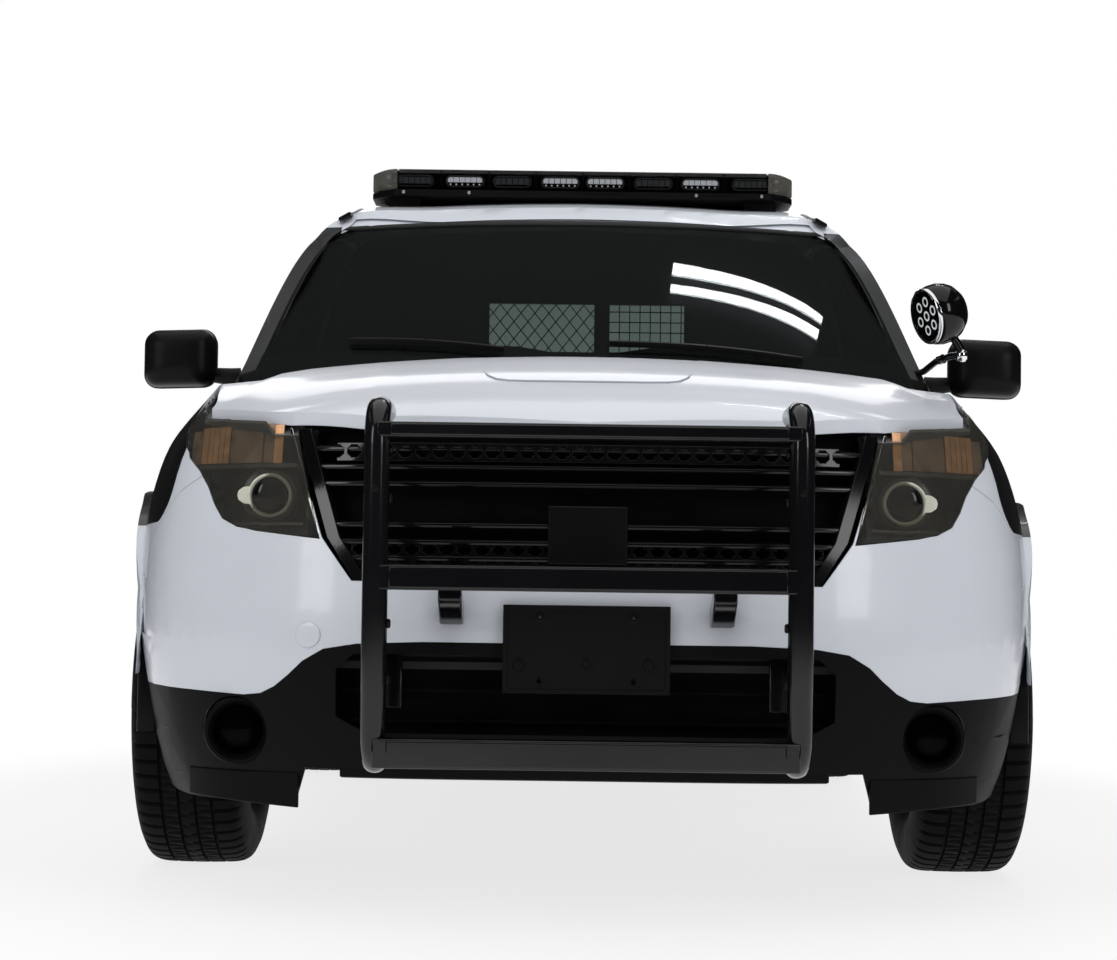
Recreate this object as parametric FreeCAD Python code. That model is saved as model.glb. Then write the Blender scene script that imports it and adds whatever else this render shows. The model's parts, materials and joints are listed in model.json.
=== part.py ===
"""Mid-size four-door police utility vehicle, modelled in millimetres at full size.

Frame: +Z up, the ground at Z = 0, the front of the vehicle towards -Y, its left side towards +X.
The origin is on the ground, midway between the push bumper and the rear bumper.
Lengths along the vehicle are given as s, the distance behind the front axle.
Outlines are (s, z) pairs for side views, (x, z) for front and rear views and (x, s) for plan views.
"""

import FreeCAD
import Part
import math
import os

V = FreeCAD.Vector

# ---------------------------------------------------------------- driving sizes
WHEELBASE = 2860.0
TRACK = 1702.0
REAR_REACH = 4038.0          # rear bumper, behind the front axle
PUSH_REACH = 1128.0          # push bumper, ahead of the front axle
FRONT_AXLE_Y = (PUSH_REACH - REAR_REACH) / 2
BODY_WIDTH = 2004.0          # across the wheel arch lips
TYRE_R = 363.0
TYRE_WIDTH = 245.0
RIM_R = 228.6
ARCH_R = 430.0               # wheel opening
LINER_GAP = 12.0             # wheel opening to wheel housing
WALL = 80.0                  # door and body side, whole thickness
ROOF_WALL = 45.0
FLANGE = 14.0                # door skin flange that overlaps a pillar
PILLAR_STEP = 22.0           # depth of a pillar face behind the skin
SHUT = 9.0                   # gap between a door and the body
SKIN = 15.0                  # fender and bumper cover thickness
BELT_WALL = 52.0             # door thickness at the belt
TAIL_WALL = 75.0             # liftgate thickness
LAMP_DEPTH = 110.0
GLASS = 6.0
GLASS_SINK = 9.0             # side glass behind the skin
SCREEN_MARGIN = 38.0         # pillar and roof frame beside the windscreen
SEAT_GAP = 0.3               # running and seating clearance

FLOOR_Z = 345.0
FLOOR_T = 30.0
CARGO_Z = 660.0
ROCKER_TOP = 322.0

# ---------------------------------------------------------------- helpers


def P(x, s, z):
    return V(x, s + FRONT_AXLE_Y, z)


def box(x0, x1, s0, s1, z0, z1):
    return Part.makeBox(x1 - x0, s1 - s0, z1 - z0, P(x0, s0, z0))


def face(points):
    return Part.Face(Part.makePolygon(points + points[:1]))


def side_prism(outline, x0, x1):
    """An (s, z) outline, from x0 to x1."""
    return face([P(x0, s, z) for s, z in outline]).extrude(V(x1 - x0, 0, 0))


def front_prism(outline, s0, s1):
    """An (x, z) outline, from s0 to s1."""
    return face([P(x, s0, z) for x, z in outline]).extrude(V(0, s1 - s0, 0))


def plan_prism(outline, z0, z1):
    """An (x, s) outline, from z0 to z1."""
    return face([P(x, s, z0) for x, s in outline]).extrude(V(0, 0, z1 - z0))


def rod(a, b, r):
    """A round bar from point a to point b."""
    return Part.makeCylinder(r, (b - a).Length, a, b - a)


def rod_x(s, z, r, x0, x1):
    return Part.makeCylinder(r, x1 - x0, P(x0, s, z), V(1, 0, 0))


def rod_z(x, s, r, z0, z1):
    return Part.makeCylinder(r, z1 - z0, P(x, s, z0), V(0, 0, 1))


def mirrored(shape):
    return shape.mirror(V(0, 0, 0), V(1, 0, 0))


def fused(*shapes):
    out = shapes[0].fuse(list(shapes[1:])) if len(shapes) > 1 else shapes[0]
    return out.removeSplitter()


def largest(shape):
    """The biggest solid of a shape, without any cut-off slivers."""
    return max(shape.Solids, key=lambda q: q.Volume)


def minus(shape, *tools):
    return shape.cut(list(tools))


def ring_x(s, z, r_in, r_out, x0, x1):
    return rod_x(s, z, r_out, x0, x1).cut(rod_x(s, z, r_in, x0 - 1, x1 + 1))


def loft(sections):
    """A solid through closed polygons, straight between neighbours."""
    wires = [Part.makePolygon(points + points[:1]) for points in sections]
    return Part.makeLoft(wires, True, True)


def bent_tube(points, r, bend):
    """A round tube along straight runs joined by arcs of radius bend."""
    edges = []
    start = points[0]
    for before, corner, after in zip(points, points[1:], points[2:]):
        u = (before - corner).normalize()
        w = (after - corner).normalize()
        half = u.getAngle(w) / 2
        back = bend / math.tan(half)
        a, b = corner + u * back, corner + w * back
        middle = (u + w).normalize()
        m = corner + middle * (bend / math.sin(half) - bend)
        edges.append(Part.LineSegment(start, a).toShape())
        edges.append(Part.Arc(a, m, b).toShape())
        start = b
    edges.append(Part.LineSegment(start, points[-1]).toShape())
    wire = Part.Wire(edges)
    ring = Part.Wire(Part.makeCircle(r, points[0], points[1] - points[0]))
    return wire.makePipeShell([ring], True, False)


def solids_of(shape, smallest=2000.0):
    return [s for s in shape.Solids if s.Volume > smallest]


def lerp(a, b, t):
    return a + (b - a) * t


def both(shape):
    return [shape, mirrored(shape)]


NODES = {}


def node(name, *shapes):
    """Keeps the solids of some shapes as one named sub-part."""
    NODES[name] = [s for shape in shapes for s in solids_of(shape)]


# ---------------------------------------------------------------- outer form
# Front body, ahead of the doors. Per station: s, then half-width x and height z of the sill, the waist,
# the high waist, the shoulder and the fender top beside the hood.
FRONT_BODY = [
    # s      sill        waist        high waist    shoulder      top
    (-424, (882, 255), (932, 620), (916, 790), (864, 930), (790, 1032)),
    (0, (925, 255), (976, 620), (978, 822), (950, 940), (838, 1088)),
    (400, (925, 255), (982, 640), (980, 840), (956, 955), (864, 1122)),
    (566, (925, 255), (982, 640), (980, 850), (957, 960), (876, 1138)),
]

# Nose, ahead of the front wheels. Per level: z, s on the centreline, then x and s of the knee, the corner
# and the side, and last x at the front of the wheel opening.
NOSE = [
    # z    middle  knee         corner       side         wheel opening
    (205, -880, (430, -865), (640, -790), (770, -680), 862),
    (255, -905, (430, -890), (650, -812), (790, -690), 882),
    (345, -940, (430, -925), (660, -840), (815, -700), 905),
    (520, -968, (430, -952), (670, -862), (835, -705), 930),
    (640, -958, (430, -940), (672, -850), (838, -700), 932),
    (790, -936, (430, -918), (662, -832), (822, -685), 916),
    (930, -905, (430, -886), (640, -795), (797, -650), 864),
    (1032, -850, (430, -832), (620, -750), (748, -620), 790),
]

# Hood. Per station: s, then x and z of the edge and of the ridge, and z of the middle.
HOOD = [
    # s     edge         ridge        middle
    (-930, (820, 838), (430, 897), 907),
    (-865, (800, 908), (430, 960), 972),
    (-760, (790, 942), (430, 1008), 1022),
    (-640, (772, 984), (430, 1044), 1058),
    (-424, (790, 1032), (430, 1082), 1098),
    (0, (838, 1088), (430, 1132), 1150),
    (300, (857, 1114), (430, 1160), 1180),
    (600, (878, 1141), (430, 1182), 1204),
]

# Rear bumper. Per level: z, then s on the centreline, then x and s of the knee and corner, and x and s
# of its front end beside the rear wheel.
TAIL_BUMPER = [
    # z    middle  knee         corner       front end
    (250, 3890, (480, 3870), (760, 3720), (890, 3292)),
    (330, 3985, (520, 3962), (800, 3780), (925, 3292)),
    (520, 4030, (560, 4002), (840, 3810), (958, 3292)),
    (640, 4038, (570, 4008), (846, 3812), (968, 3292)),
    (700, 4022, (570, 3992), (842, 3800), (966, 3292)),
]

# Cabin, from the windscreen base to the tail. Per station: s, then x and z of the sill, waist, high waist,
# shoulder, belt, glass top, roof edge, and the height of the roof's middle.
CABIN = [
    # s     sill        waist        high waist   shoulder      belt          glass top    roof edge    middle
    (240, (925, 255), (972, 640), (970, 845), (945, 950), (862, 1108), (752, 1560), (672, 1640), 1668),
    (620, (925, 255), (983, 640), (981, 850), (959, 960), (880, 1143), (750, 1580), (672, 1655), 1684),
    (1200, (927, 255), (985, 640), (984, 860), (964, 968), (888, 1156), (748, 1602), (670, 1672), 1702),
    (1600, (927, 255), (985, 640), (985, 865), (966, 975), (890, 1165), (744, 1640), (664, 1722), 1758),
    (2100, (927, 255), (985, 640), (985, 870), (966, 985), (890, 1176), (738, 1650), (660, 1734), 1770),
    (2600, (927, 255), (984, 640), (982, 880), (962, 995), (884, 1190), (726, 1638), (650, 1722), 1758),
    (3150, (920, 270), (975, 640), (972, 885), (950, 1008), (868, 1206), (708, 1606), (632, 1688), 1724),
    (3600, (890, 310), (948, 640), (944, 885), (922, 1018), (838, 1220), (684, 1566), (606, 1642), 1682),
    (3860, (845, 340), (905, 640), (900, 885), (876, 1020), (796, 1228), (654, 1540), (580, 1612), 1652),
    (4030, (760, 360), (835, 640), (830, 885), (800, 1020), (738, 1230), (610, 1520), (540, 1592), 1630),
]
ROOF_QUARTER = 0.62          # where the roof is drawn a second time, as a share of its half-width

# Rear face of the body, as (s, z) from the roof down: spoiler lip, glass top, glass foot, gate, bumper shelf.
TAIL = [(3835, 1720), (3835, 1652), (3775, 1612), (3905, 1175), (3952, 1030), (3965, 720), (3930, 240)]


def closed_half(half):
    """A section from its left half: the points, then their mirror images."""
    return half + [V(-p.x, p.y, p.z) for p in reversed(half) if abs(p.x) > 1e-6]


def front_section(row, inset=0.0, lift=0.0):
    s, points = row[0], row[1:]
    half = [P(x - inset, s, z) for x, z in points]
    if lift:
        half[0].z -= lift
        half.append(P(points[-1][0] - inset, s, points[-1][1] + lift))
    return closed_half(half)


def nose_section(row, inset=0.0, lift=0.0):
    """A plan outline of the nose, its surface drawn in by inset."""
    z, middle, points, rear_x = row[0], row[1], row[2:5], row[5]
    half = [P(0, middle + inset, z + lift)]
    half += [P(x - inset * 0.5, s + inset * 0.8, z + lift) for x, s in points]
    half.append(P(rear_x - inset, FRONT_BODY[0][0], z + lift))
    return closed_half(half)


def tail_bumper_section(row, inset=0.0, lift=0.0):
    z, middle, points = row[0], row[1], row[2:]
    half = [P(0, middle - inset, z + lift)]
    half += [P(x - inset * 0.6, s - inset * 0.8, z + lift) for x, s in points[:-1]]
    half.append(P(points[-1][0] - inset, points[-1][1] - (20 if inset else 0), z + lift))
    return closed_half(half)


def hood_section(row, drop_edge, drop_middle, up=0.0):
    s, (xe, ze), (xr, zr), middle = row
    top = [P(xe, s, ze + up), P(xr, s, zr + up), P(0, s, middle + up), P(-xr, s, zr + up), P(-xe, s, ze + up)]
    low = [
        P(-xe, s, ze - drop_edge), P(-xr, s, zr - drop_middle), P(0, s, middle - drop_middle),
        P(xr, s, zr - drop_middle), P(xe, s, ze - drop_edge),
    ]
    return top + low


def cabin_section(row, inset=0.0, roof_inset=0.0):
    """One cabin section, drawn in by inset at the sides and roof_inset above the glass."""
    s, points, top = row[0], row[1:-1], row[-1]
    side, upper = points[:5], points[5:]
    edge_x, edge_z = upper[-1]
    quarter_z = top - (top - edge_z) * ROOF_QUARTER ** 2
    half = [P(x - inset, s, z) for x, z in side]
    half += [P(x - roof_inset, s, z - roof_inset * 0.45) for x, z in upper]
    half.append(P((edge_x - roof_inset) * ROOF_QUARTER, s, quarter_z - roof_inset))
    half.append(P(0, s, top - roof_inset))
    return closed_half(half)


def cavity_section(row):
    """The hollow of the cabin: straight down from the waist, one roof thickness under the roof."""
    s, points, top = row[0], row[1:-1], row[-1]
    waist, belt, glass_top, edge = points[1], points[4], points[5], points[6]
    quarter_z = top - (top - edge[1]) * ROOF_QUARTER ** 2
    half = [
        P(waist[0] - WALL, s, 200),
        P(waist[0] - WALL, s, points[2][1]),
        P(belt[0] - BELT_WALL, s, belt[1]),
        P(glass_top[0] - ROOF_WALL, s, glass_top[1] - 12),
        P(edge[0] - 25, s, edge[1] - ROOF_WALL),
        P((edge[0] - 25) * ROOF_QUARTER, s, quarter_z - ROOF_WALL),
        P(0, s, top - ROOF_WALL),
    ]
    return closed_half(half)


def table_at(table, s):
    """The table's row at station s, between its neighbours."""
    def mix(a, b, t):
        return tuple(lerp(p, q, t) for p, q in zip(a, b)) if isinstance(a, tuple) else lerp(a, b, t)
    for low, high in zip(table, table[1:]):
        if low[0] <= s <= high[0]:
            t = (s - low[0]) / (high[0] - low[0])
            return tuple(mix(a, b, t) for a, b in zip(low, high))
    raise ValueError(s)


SILL, WAIST, HIGH_WAIST, SHOULDER, BELT, GLASS_TOP, ROOF_EDGE, ROOF_MIDDLE = range(1, 9)

cabin_outer = loft([cabin_section(r) for r in CABIN])
cabin_flange = loft([cabin_section(r, FLANGE, FLANGE) for r in CABIN])
cabin_step = loft([cabin_section(r, PILLAR_STEP, PILLAR_STEP) for r in CABIN])
cabin_glass_out = loft([cabin_section(r, GLASS_SINK, GLASS_SINK) for r in CABIN])
cabin_glass_in = loft([cabin_section(r, GLASS_SINK + GLASS, GLASS_SINK + GLASS) for r in CABIN])
cabin_screen_zone = loft([cabin_section(r, SCREEN_MARGIN, SCREEN_MARGIN) for r in CABIN])
tail_back = side_prism([(s - TAIL_WALL, z) for s, z in TAIL] + [(4400, 200), (4400, 1900)], -1200, 1200)
cavity = loft([cavity_section(r) for r in CABIN]).cut(tail_back)
front_outer = loft([front_section(r) for r in FRONT_BODY])
front_inner = loft([front_section(r, SKIN, 60.0) for r in FRONT_BODY])
nose_outer = loft([nose_section(r) for r in NOSE])
nose_inner = loft([nose_section(r, SKIN) for r in NOSE])
nose_deep = loft([nose_section(r, LAMP_DEPTH) for r in NOSE])

tail_cutter = side_prism(TAIL + [(4400, 200), (4400, 1900), (3835, 1900)], -1200, 1200)

# ---------------------------------------------------------------- windscreen
# Base and top edges of the windscreen: s and z at the middle, then s and z at a half-width x.
SCREEN_BASE = (300, 1172, 520, 1132, 872)
SCREEN_TOP = (1150, 1652, 1250, 1640, 700)
SCREEN_STEPS = 4             # flat facets on each side
SCREEN_REACH = 915.0


def screen_edge(edge, x):
    s0, z0, s1, z1, width = edge
    share = (x / width) ** 2
    return P(x, lerp(s0, s1, share), lerp(z0, z1, share))


def screen_block(front, back, below=0.25):
    """The space between the windscreen's surface pushed inwards by front and by back, past its ends."""
    sections = []
    for i in range(-SCREEN_STEPS, SCREEN_STEPS + 1):
        x = SCREEN_REACH * i / SCREEN_STEPS
        foot, head = screen_edge(SCREEN_BASE, x), screen_edge(SCREEN_TOP, x)
        run = head - foot
        inwards = V(0, run.z, -run.y).normalize()
        low, high = foot - run * below, head + run * 0.25
        face, far = inwards * front, inwards * back
        sections.append([low + face, high + face, high + far, low + far])
    return loft(sections)


screen_cutter = screen_block(-700.0, 0.0)

# ---------------------------------------------------------------- doors: side outlines
DOOR_SPLIT = 1609.0          # middle of the gap between front and rear doors
DOOR_FRONT = 575.0
DOOR_BOTTOM = ROCKER_TOP + SHUT
REAR_ARCH_EDGE = 500.0       # door edge round the rear wheel opening


def arc_points(s, z, r, a0, a1, n):
    angles = [math.radians(lerp(a0, a1, i / n)) for i in range(n + 1)]
    return [(s + r * math.cos(a), z + r * math.sin(a)) for a in angles]


FRONT_DOOR = [
    (DOOR_FRONT, DOOR_BOTTOM), (DOOR_FRONT, 1120), (632, 1142), (1290, 1597), (1400, 1616),
    (DOOR_SPLIT - SHUT / 2 + 26, 1636), (DOOR_SPLIT - SHUT / 2, 1165), (DOOR_SPLIT - SHUT / 2, DOOR_BOTTOM),
]
REAR_DOOR = [
    (DOOR_SPLIT + SHUT / 2, DOOR_BOTTOM), (DOOR_SPLIT + SHUT / 2, 1165), (DOOR_SPLIT + SHUT / 2 + 26, 1637),
    (2100, 1646), (2440, 1636), (2590, 1192), (2575, 880),
] + arc_points(WHEELBASE, TYRE_R, REAR_ARCH_EDGE, 125, 184, 5)[1:]
FRONT_WINDOW = [
    (735, 1170), (1310, 1564), (1400, 1584), (1562, 1598), (1552, 1182), (1100, 1174),
]
REAR_WINDOW = [
    (1668, 1184), (1680, 1602), (2060, 1612), (2400, 1600), (2520, 1212), (2100, 1196),
]
QUARTER_WINDOW = [(2700, 1232), (2622, 1590), (3000, 1574), (3440, 1536), (3560, 1262), (3100, 1244)]


def grown(outline, by):
    """The outline moved outwards by a distance, with its corners kept sharp."""
    wire = Part.makePolygon([V(s, z, 0) for s, z in outline + outline[:1]])
    return [(v.X, v.Y) for v in wire.makeOffset2D(by, 2).OrderedVertexes]


LEFT_HALF = box(0, 1300, -1500, 4500, 0, 2400)
screen_zone = screen_block(-60.0, GLASS + SEAT_GAP, 0.0).common(cabin_screen_zone)
whole_wall = minus(cabin_outer, cavity, tail_cutter, screen_cutter, screen_zone)
wall = whole_wall.common(LEFT_HALF)

# ---------------------------------------------------------------- hinges
HINGE_INBOARD = 18.0         # hinge axis behind the widest skin
HINGE_BACK = 45.0            # hinge axis behind the panel's leading edge
HINGE_PIN_R = 6.0
HINGE_HEIGHTS = (600.0, 840.0)
HINGE_H = 30.0
ARM_IN, ARM_OUT = 60.0, 48.0  # the fixed arm's faces, inboard of the axis


def hinge(origin, axis, out, back, reach):
    """A hinge about origin: the fixed arm with its pin, and the pocket and pin hole to cut from the panel.

    out points to the skin and back from the leading edge into the panel. reach is the distance from the
    axis to the end of the arm, ahead of the leading edge.
    """
    def block(o0, o1, b0, b1, h0, h1):
        corners = [
            origin + out * o + back * b + axis * h0 for o, b in ((o0, b0), (o1, b0), (o1, b1), (o0, b1))
        ]
        return face(corners).extrude(axis * (h1 - h0))

    h = HINGE_H / 2
    arm = block(-ARM_IN, -ARM_OUT, -reach, 8, -h, h).fuse(block(-ARM_OUT, 0, -8, 8, -h, h))
    eye = Part.makeCylinder(8, 2 * h, origin - axis * h, axis)
    pin = Part.makeCylinder(HINGE_PIN_R, 2 * h + 24, origin - axis * (h + 12), axis)
    pocket = block(-170, 11, -HINGE_BACK - 2, 20, -h - 3, h + 3)
    hole = Part.makeCylinder(HINGE_PIN_R + SEAT_GAP, 2 * h + 26, origin - axis * (h + 13), axis)
    return fused(arm, eye, pin), pocket.fuse(hole)


def door_hinges(front_edge, reach):
    arms, pockets = [], []
    axis_x = table_at(CABIN, front_edge + 60)[WAIST][0] - HINGE_INBOARD
    for z in HINGE_HEIGHTS:
        arm, pocket = hinge(P(axis_x, front_edge + HINGE_BACK, z), V(0, 0, 1), V(1, 0, 0), V(0, 1, 0), reach)
        arms.append(arm)
        pockets.append(pocket)
    return arms, pockets


front_arms, front_pockets = door_hinges(DOOR_FRONT, HINGE_BACK + SHUT + 8)
rear_arms, rear_pockets = door_hinges(DOOR_SPLIT + SHUT / 2, HINGE_BACK + SHUT + 24)

# Strips behind the rear edges of the doors, where only the skin flange covers the pillar.
B_STRIP = [
    (DOOR_SPLIT - 72, 200), (DOOR_SPLIT - 72, 1165), (DOOR_SPLIT - 46, 1700),
    (DOOR_SPLIT + 60, 1700), (DOOR_SPLIT + 30, 1165), (DOOR_SPLIT + 30, 200),
]
B_PILLAR = [
    (DOOR_SPLIT - 55, 200), (DOOR_SPLIT - 55, 1165), (DOOR_SPLIT - 27, 1700),
    (DOOR_SPLIT + 25, 1700), (DOOR_SPLIT - 5, 1165), (DOOR_SPLIT - 5, 200),
]
C_STRIP = [
    (2388, 1700), (2528, 1192), (2505, 900), (2400, 760), (2310, 560), (2300, 200),
    (2440, 200), (2600, 880), (2640, 1192), (2500, 1700),
]
C_PILLAR = [
    (2405, 1700), (2545, 1192), (2522, 900), (2417, 760), (2327, 560), (2317, 200),
    (2440, 200), (2600, 880), (2640, 1192), (2500, 1700),
]


def make_door(outline, window, strip, pockets):
    """A whole-thickness door with its window cut through and a thin flange over the pillar behind it."""
    body = wall.common(side_prism(outline, 0, 1200))
    rebate = side_prism(strip, 0, 1200).common(cabin_flange)
    body = minus(body, rebate, side_prism(window, 0, 1200), *pockets)
    return max(body.Solids, key=lambda s: s.Volume)


def make_glass(window, gap=SEAT_GAP):
    """A pane that fills a window opening, a little behind the skin."""
    pane = cabin_glass_out.cut(cabin_glass_in).common(LEFT_HALF)
    return pane.common(side_prism(grown(window, -gap), 0, 1200))


door_front = make_door(FRONT_DOOR, FRONT_WINDOW, B_STRIP, front_pockets)
door_rear = make_door(REAR_DOOR, REAR_WINDOW, C_STRIP, rear_pockets)
glass_front = make_glass(FRONT_WINDOW)
glass_rear = make_glass(REAR_WINDOW)
glass_quarter = make_glass(QUARTER_WINDOW)

# ---------------------------------------------------------------- body side, roof, liftgate
GATE_TOP = 3640.0            # liftgate's leading edge in the roof
GATE_FOOT = 712.0
GATE_SHUT = 16.0
ROOF_SPLIT = [(672, 900), (672, 1240), (664, 1600), (660, 2100), (650, 2600), (632, 3150), (606, GATE_TOP)]
GATE_SIDE = [
    (GATE_TOP, 1900), (GATE_TOP, 1545), (3740, 1225), (3770, 1000), (3800, GATE_FOOT),
    (4200, GATE_FOOT), (4200, 1900),
]
GATE_HALF = [(604, 1900), (612, 1585), (700, 1230), (735, 1020), (735, GATE_FOOT)]
REAR_WINDOW_HALF = [(540, 1568), (600, 1230)]
TAIL_LAMP = [(700, 850), (758, 840), (900, 850), (900, 1100), (745, 1110), (722, 1060)]
TAIL_LAMP_START = 3700.0


def both_sides(half):
    return half + [(-x, z) for x, z in reversed(half)]


def gate_zone(by=0.0):
    side = side_prism(grown(GATE_SIDE, by) if by else GATE_SIDE, -1200, 1200)
    front = both_sides(GATE_HALF)
    return side.common(front_prism(grown(front, by) if by else front, 3500, 4300))


roof_zone = plan_prism(both_sides(ROOF_SPLIT[::-1]), 1480, 1900)
roof = whole_wall.common(roof_zone).cut(gate_zone(GATE_SHUT))
roof = max(roof.Solids, key=lambda s: s.Volume)

GATE_HINGE = (GATE_TOP + 34.0, 1648.0)   # s and z of the liftgate's hinge axis
GATE_HINGE_X = 430.0


def gate_hinge(sign):
    """The liftgate's hinge at one side: an arm that comes back from the roof's edge."""
    s, z = GATE_HINGE
    x0, x1 = sorted((sign * (GATE_HINGE_X - 15), sign * (GATE_HINGE_X + 15)))
    pin = rod_x(s, z, HINGE_PIN_R, x0 - 12, x1 + 12)
    arm = fused(rod_x(s, z, 9, x0, x1), box(x0, x1, GATE_TOP - GATE_SHUT - 40, s, z - 9, z + 3), pin)
    pocket = box(x0 - 4, x1 + 4, GATE_TOP - 2, s + 15, z - 110, z + 12)
    hole = rod_x(s, z, HINGE_PIN_R + SEAT_GAP, x0 - 13, x1 + 13)
    return arm, pocket.fuse(hole)


gate_arms, gate_pockets = zip(gate_hinge(1), gate_hinge(-1))
gate = minus(whole_wall.common(gate_zone()), *gate_pockets)
ahead_of_gate = box(-900, 900, 3500, 3700, 1000, 2000)
gate_opening = front_prism(both_sides(REAR_WINDOW_HALF), 3500, 4300).cut(ahead_of_gate)
gate = gate.cut(gate_opening)
gate = max(gate.Solids, key=lambda s: s.Volume)
glass_slab = side_prism(
    [(s - 4, z) for s, z in TAIL[2:4]] + [(s - 4 - GLASS, z) for s, z in TAIL[3:1:-1]], -800, 800
)
gate_glass = glass_slab.common(front_prism(grown(both_sides(REAR_WINDOW_HALF), -SEAT_GAP), 3500, 4300))
arm_end = GATE_TOP - GATE_SHUT - 30
roof = fused(roof, *[arm.cut(box(-900, 900, arm_end - 30, arm_end, 0, 1900)) for arm in gate_arms])

SILL_INNER = 880.0
SILL_STEP = 400.0
HINGE_PILLAR_OUT = 940.0
PILLAR_FRONT = 500.0
FENDER_END = 566.0
REAR_BUMPER_TOP = 700.0


# Front wheel lip in plan: x and s of its outer edge, from the bumper back.
FRONT_LIP = [(900, -700), (934, -440), (952, -330), (968, -200), (992, -40), (1002, 80), (1002, 700)]
LIP_FACE, LIP_BLEND = 12.0, 46.0          # flat face of the lip, and the run back to the body


def flare(s, x_in, z_low):
    """The lip round a wheel opening, standing out to the body's full width."""
    profile = [(x_in, ARCH_R), (BODY_WIDTH / 2, ARCH_R), (BODY_WIDTH / 2, ARCH_R + LIP_FACE),
               (985, ARCH_R + LIP_BLEND), (x_in, ARCH_R + LIP_BLEND)]
    ring = face([P(x, s, TYRE_R + r) for x, r in profile]).revolve(P(0, s, TYRE_R), V(1, 0, 0), 360)
    return ring.cut(box(0, 1200, s - 700, s + 700, -200, z_low))


HOOD_AXIS = (545.0, 1090.0)  # s and z of the hood's hinge axis
HOOD_ARM_X = 850.0
HOOD_ARM_W = 14.0
hood_notch = box(HOOD_ARM_X - 40, HOOD_ARM_X + 20, 480, HOOD_AXIS[0] + 30, 1050, 1300)
ear_x = HOOD_ARM_X + 13.0
hood_ear = box(ear_x, ear_x + 6, HOOD_AXIS[0] - 24, HOOD_AXIS[0] + 24, 1035, HOOD_AXIS[1] + 16)
hood_pin = rod_x(*HOOD_AXIS, HINGE_PIN_R, HOOD_ARM_X - 16, HOOD_ARM_X + 16).fuse(hood_ear)


def make_body_side():
    """Pillars, rocker and rear quarter of the left side, in one pressing."""
    arch = rod_x(WHEELBASE, TYRE_R, ARCH_R, 0, 1200)
    sill_end = WHEELBASE - ARCH_R + 30
    rocker = cabin_outer.common(box(800, 1000, PILLAR_FRONT, sill_end, 200, ROCKER_TOP))
    sill = box(800, SILL_INNER, PILLAR_FRONT, sill_end, 255, SILL_STEP)
    shell = minus(wall, plan_prism([(0, 900)] + ROOF_SPLIT + [(0, GATE_TOP)], 1480, 1900))
    fender_zone = box(HINGE_PILLAR_OUT, 1200, 0, FENDER_END, 0, 1105)
    fender_zone = fender_zone.fuse(box(0, 1200, 0, FENDER_END, 1060, 1128))
    engine_bay = box(0, 1200, 0, PILLAR_FRONT, 0, 1150)
    shell = minus(shell, engine_bay, fender_zone, box(0, 1200, 0, 2300, 0, ROCKER_TOP))
    for outline, strip, pillar in ((FRONT_DOOR, B_STRIP, B_PILLAR), (REAR_DOOR, C_STRIP, C_PILLAR)):
        opening = side_prism(grown(outline, SHUT), 0, 1200)
        shell = minus(shell, opening.cut(side_prism(pillar, 0, 1200).common(cabin_step)))
    shell = minus(shell, gate_zone(GATE_SHUT), side_prism(QUARTER_WINDOW, 0, 1200))
    shell = minus(shell, box(0, 1200, WHEELBASE + 300, 4300, 0, REAR_BUMPER_TOP + 8))
    lamp = front_prism(TAIL_LAMP, TAIL_LAMP_START, 4300)
    shell = minus(shell, lamp, hood_notch)
    body = fused(shell, rocker, sill, hood_pin, *(front_arms + rear_arms))
    body = body.fuse(flare(WHEELBASE, 930, ROCKER_TOP).cut(side_prism(grown(REAR_DOOR, SHUT), 0, 1200))
                     .cut(box(0, 1200, WHEELBASE, 4300, 0, REAR_BUMPER_TOP + 8)))
    body = body.cut(arch).removeSplitter()
    return max(body.Solids, key=lambda s: s.Volume)


body_side = make_body_side()
lamp_zone = front_prism(TAIL_LAMP, TAIL_LAMP_START + SEAT_GAP, 4300).cut(gate_zone(GATE_SHUT - 4))
tail_lamp = max(whole_wall.common(lamp_zone).Solids, key=lambda s: s.Volume)
screen_space = loft([cabin_section(r, SCREEN_MARGIN + SEAT_GAP, SCREEN_MARGIN + SEAT_GAP) for r in CABIN])
windshield = screen_block(0.0, GLASS, 0.0).common(screen_space)
windshield = windshield.cut(box(-900, 900, 1000, 1500, 1640, 1900))

# ---------------------------------------------------------------- hood, cowl, fenders
HOOD_T_EDGE, HOOD_T = 20.0, 30.0
HOOD_FRONT = ((0, -897), (430, -876), (577, -832), (790, -640))
HOOD_BACK = ((0, 260), (430, 318), (660, 397), (864, 499))
HOOD_GAP = 8.0
HOOD_LIP_Z = 932.0           # underside of the hood's front edge


def hood_plan(push=0.0):
    """The hood's outline in plan, moved outwards by push at its front, back and sides."""
    edge = [(row[1][0] + push, row[0]) for row in HOOD if row[0] >= -640]
    front = [(x + push * 0.6, s - push) for x, s in HOOD_FRONT[1:-1]]
    corner_x, corner_s = HOOD_BACK[-1]
    left = front + [(x, s) for x, s in edge if s < 490] + [(corner_x + push, corner_s + push)]
    back = [(x, s + push) for x, s in HOOD_BACK[-2::-1]]
    half = [(0, HOOD_FRONT[0][1] - push)] + left + back
    outline = half + [(-x, s) for x, s in reversed(half) if x]
    return plan_prism(outline, 700, 1400)


hood_slab = loft([hood_section(r, HOOD_T_EDGE, HOOD_T) for r in HOOD])
hood_clear = loft([hood_section(r, HOOD_T_EDGE + HOOD_GAP, HOOD_T + HOOD_GAP, 60) for r in HOOD])
hood_clear = hood_clear.common(hood_plan(HOOD_GAP))
hood = hood_slab.common(hood_plan(-HOOD_GAP))
hood = hood.cut(box(-900, 900, -1000, -700, 0, HOOD_LIP_Z))


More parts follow.
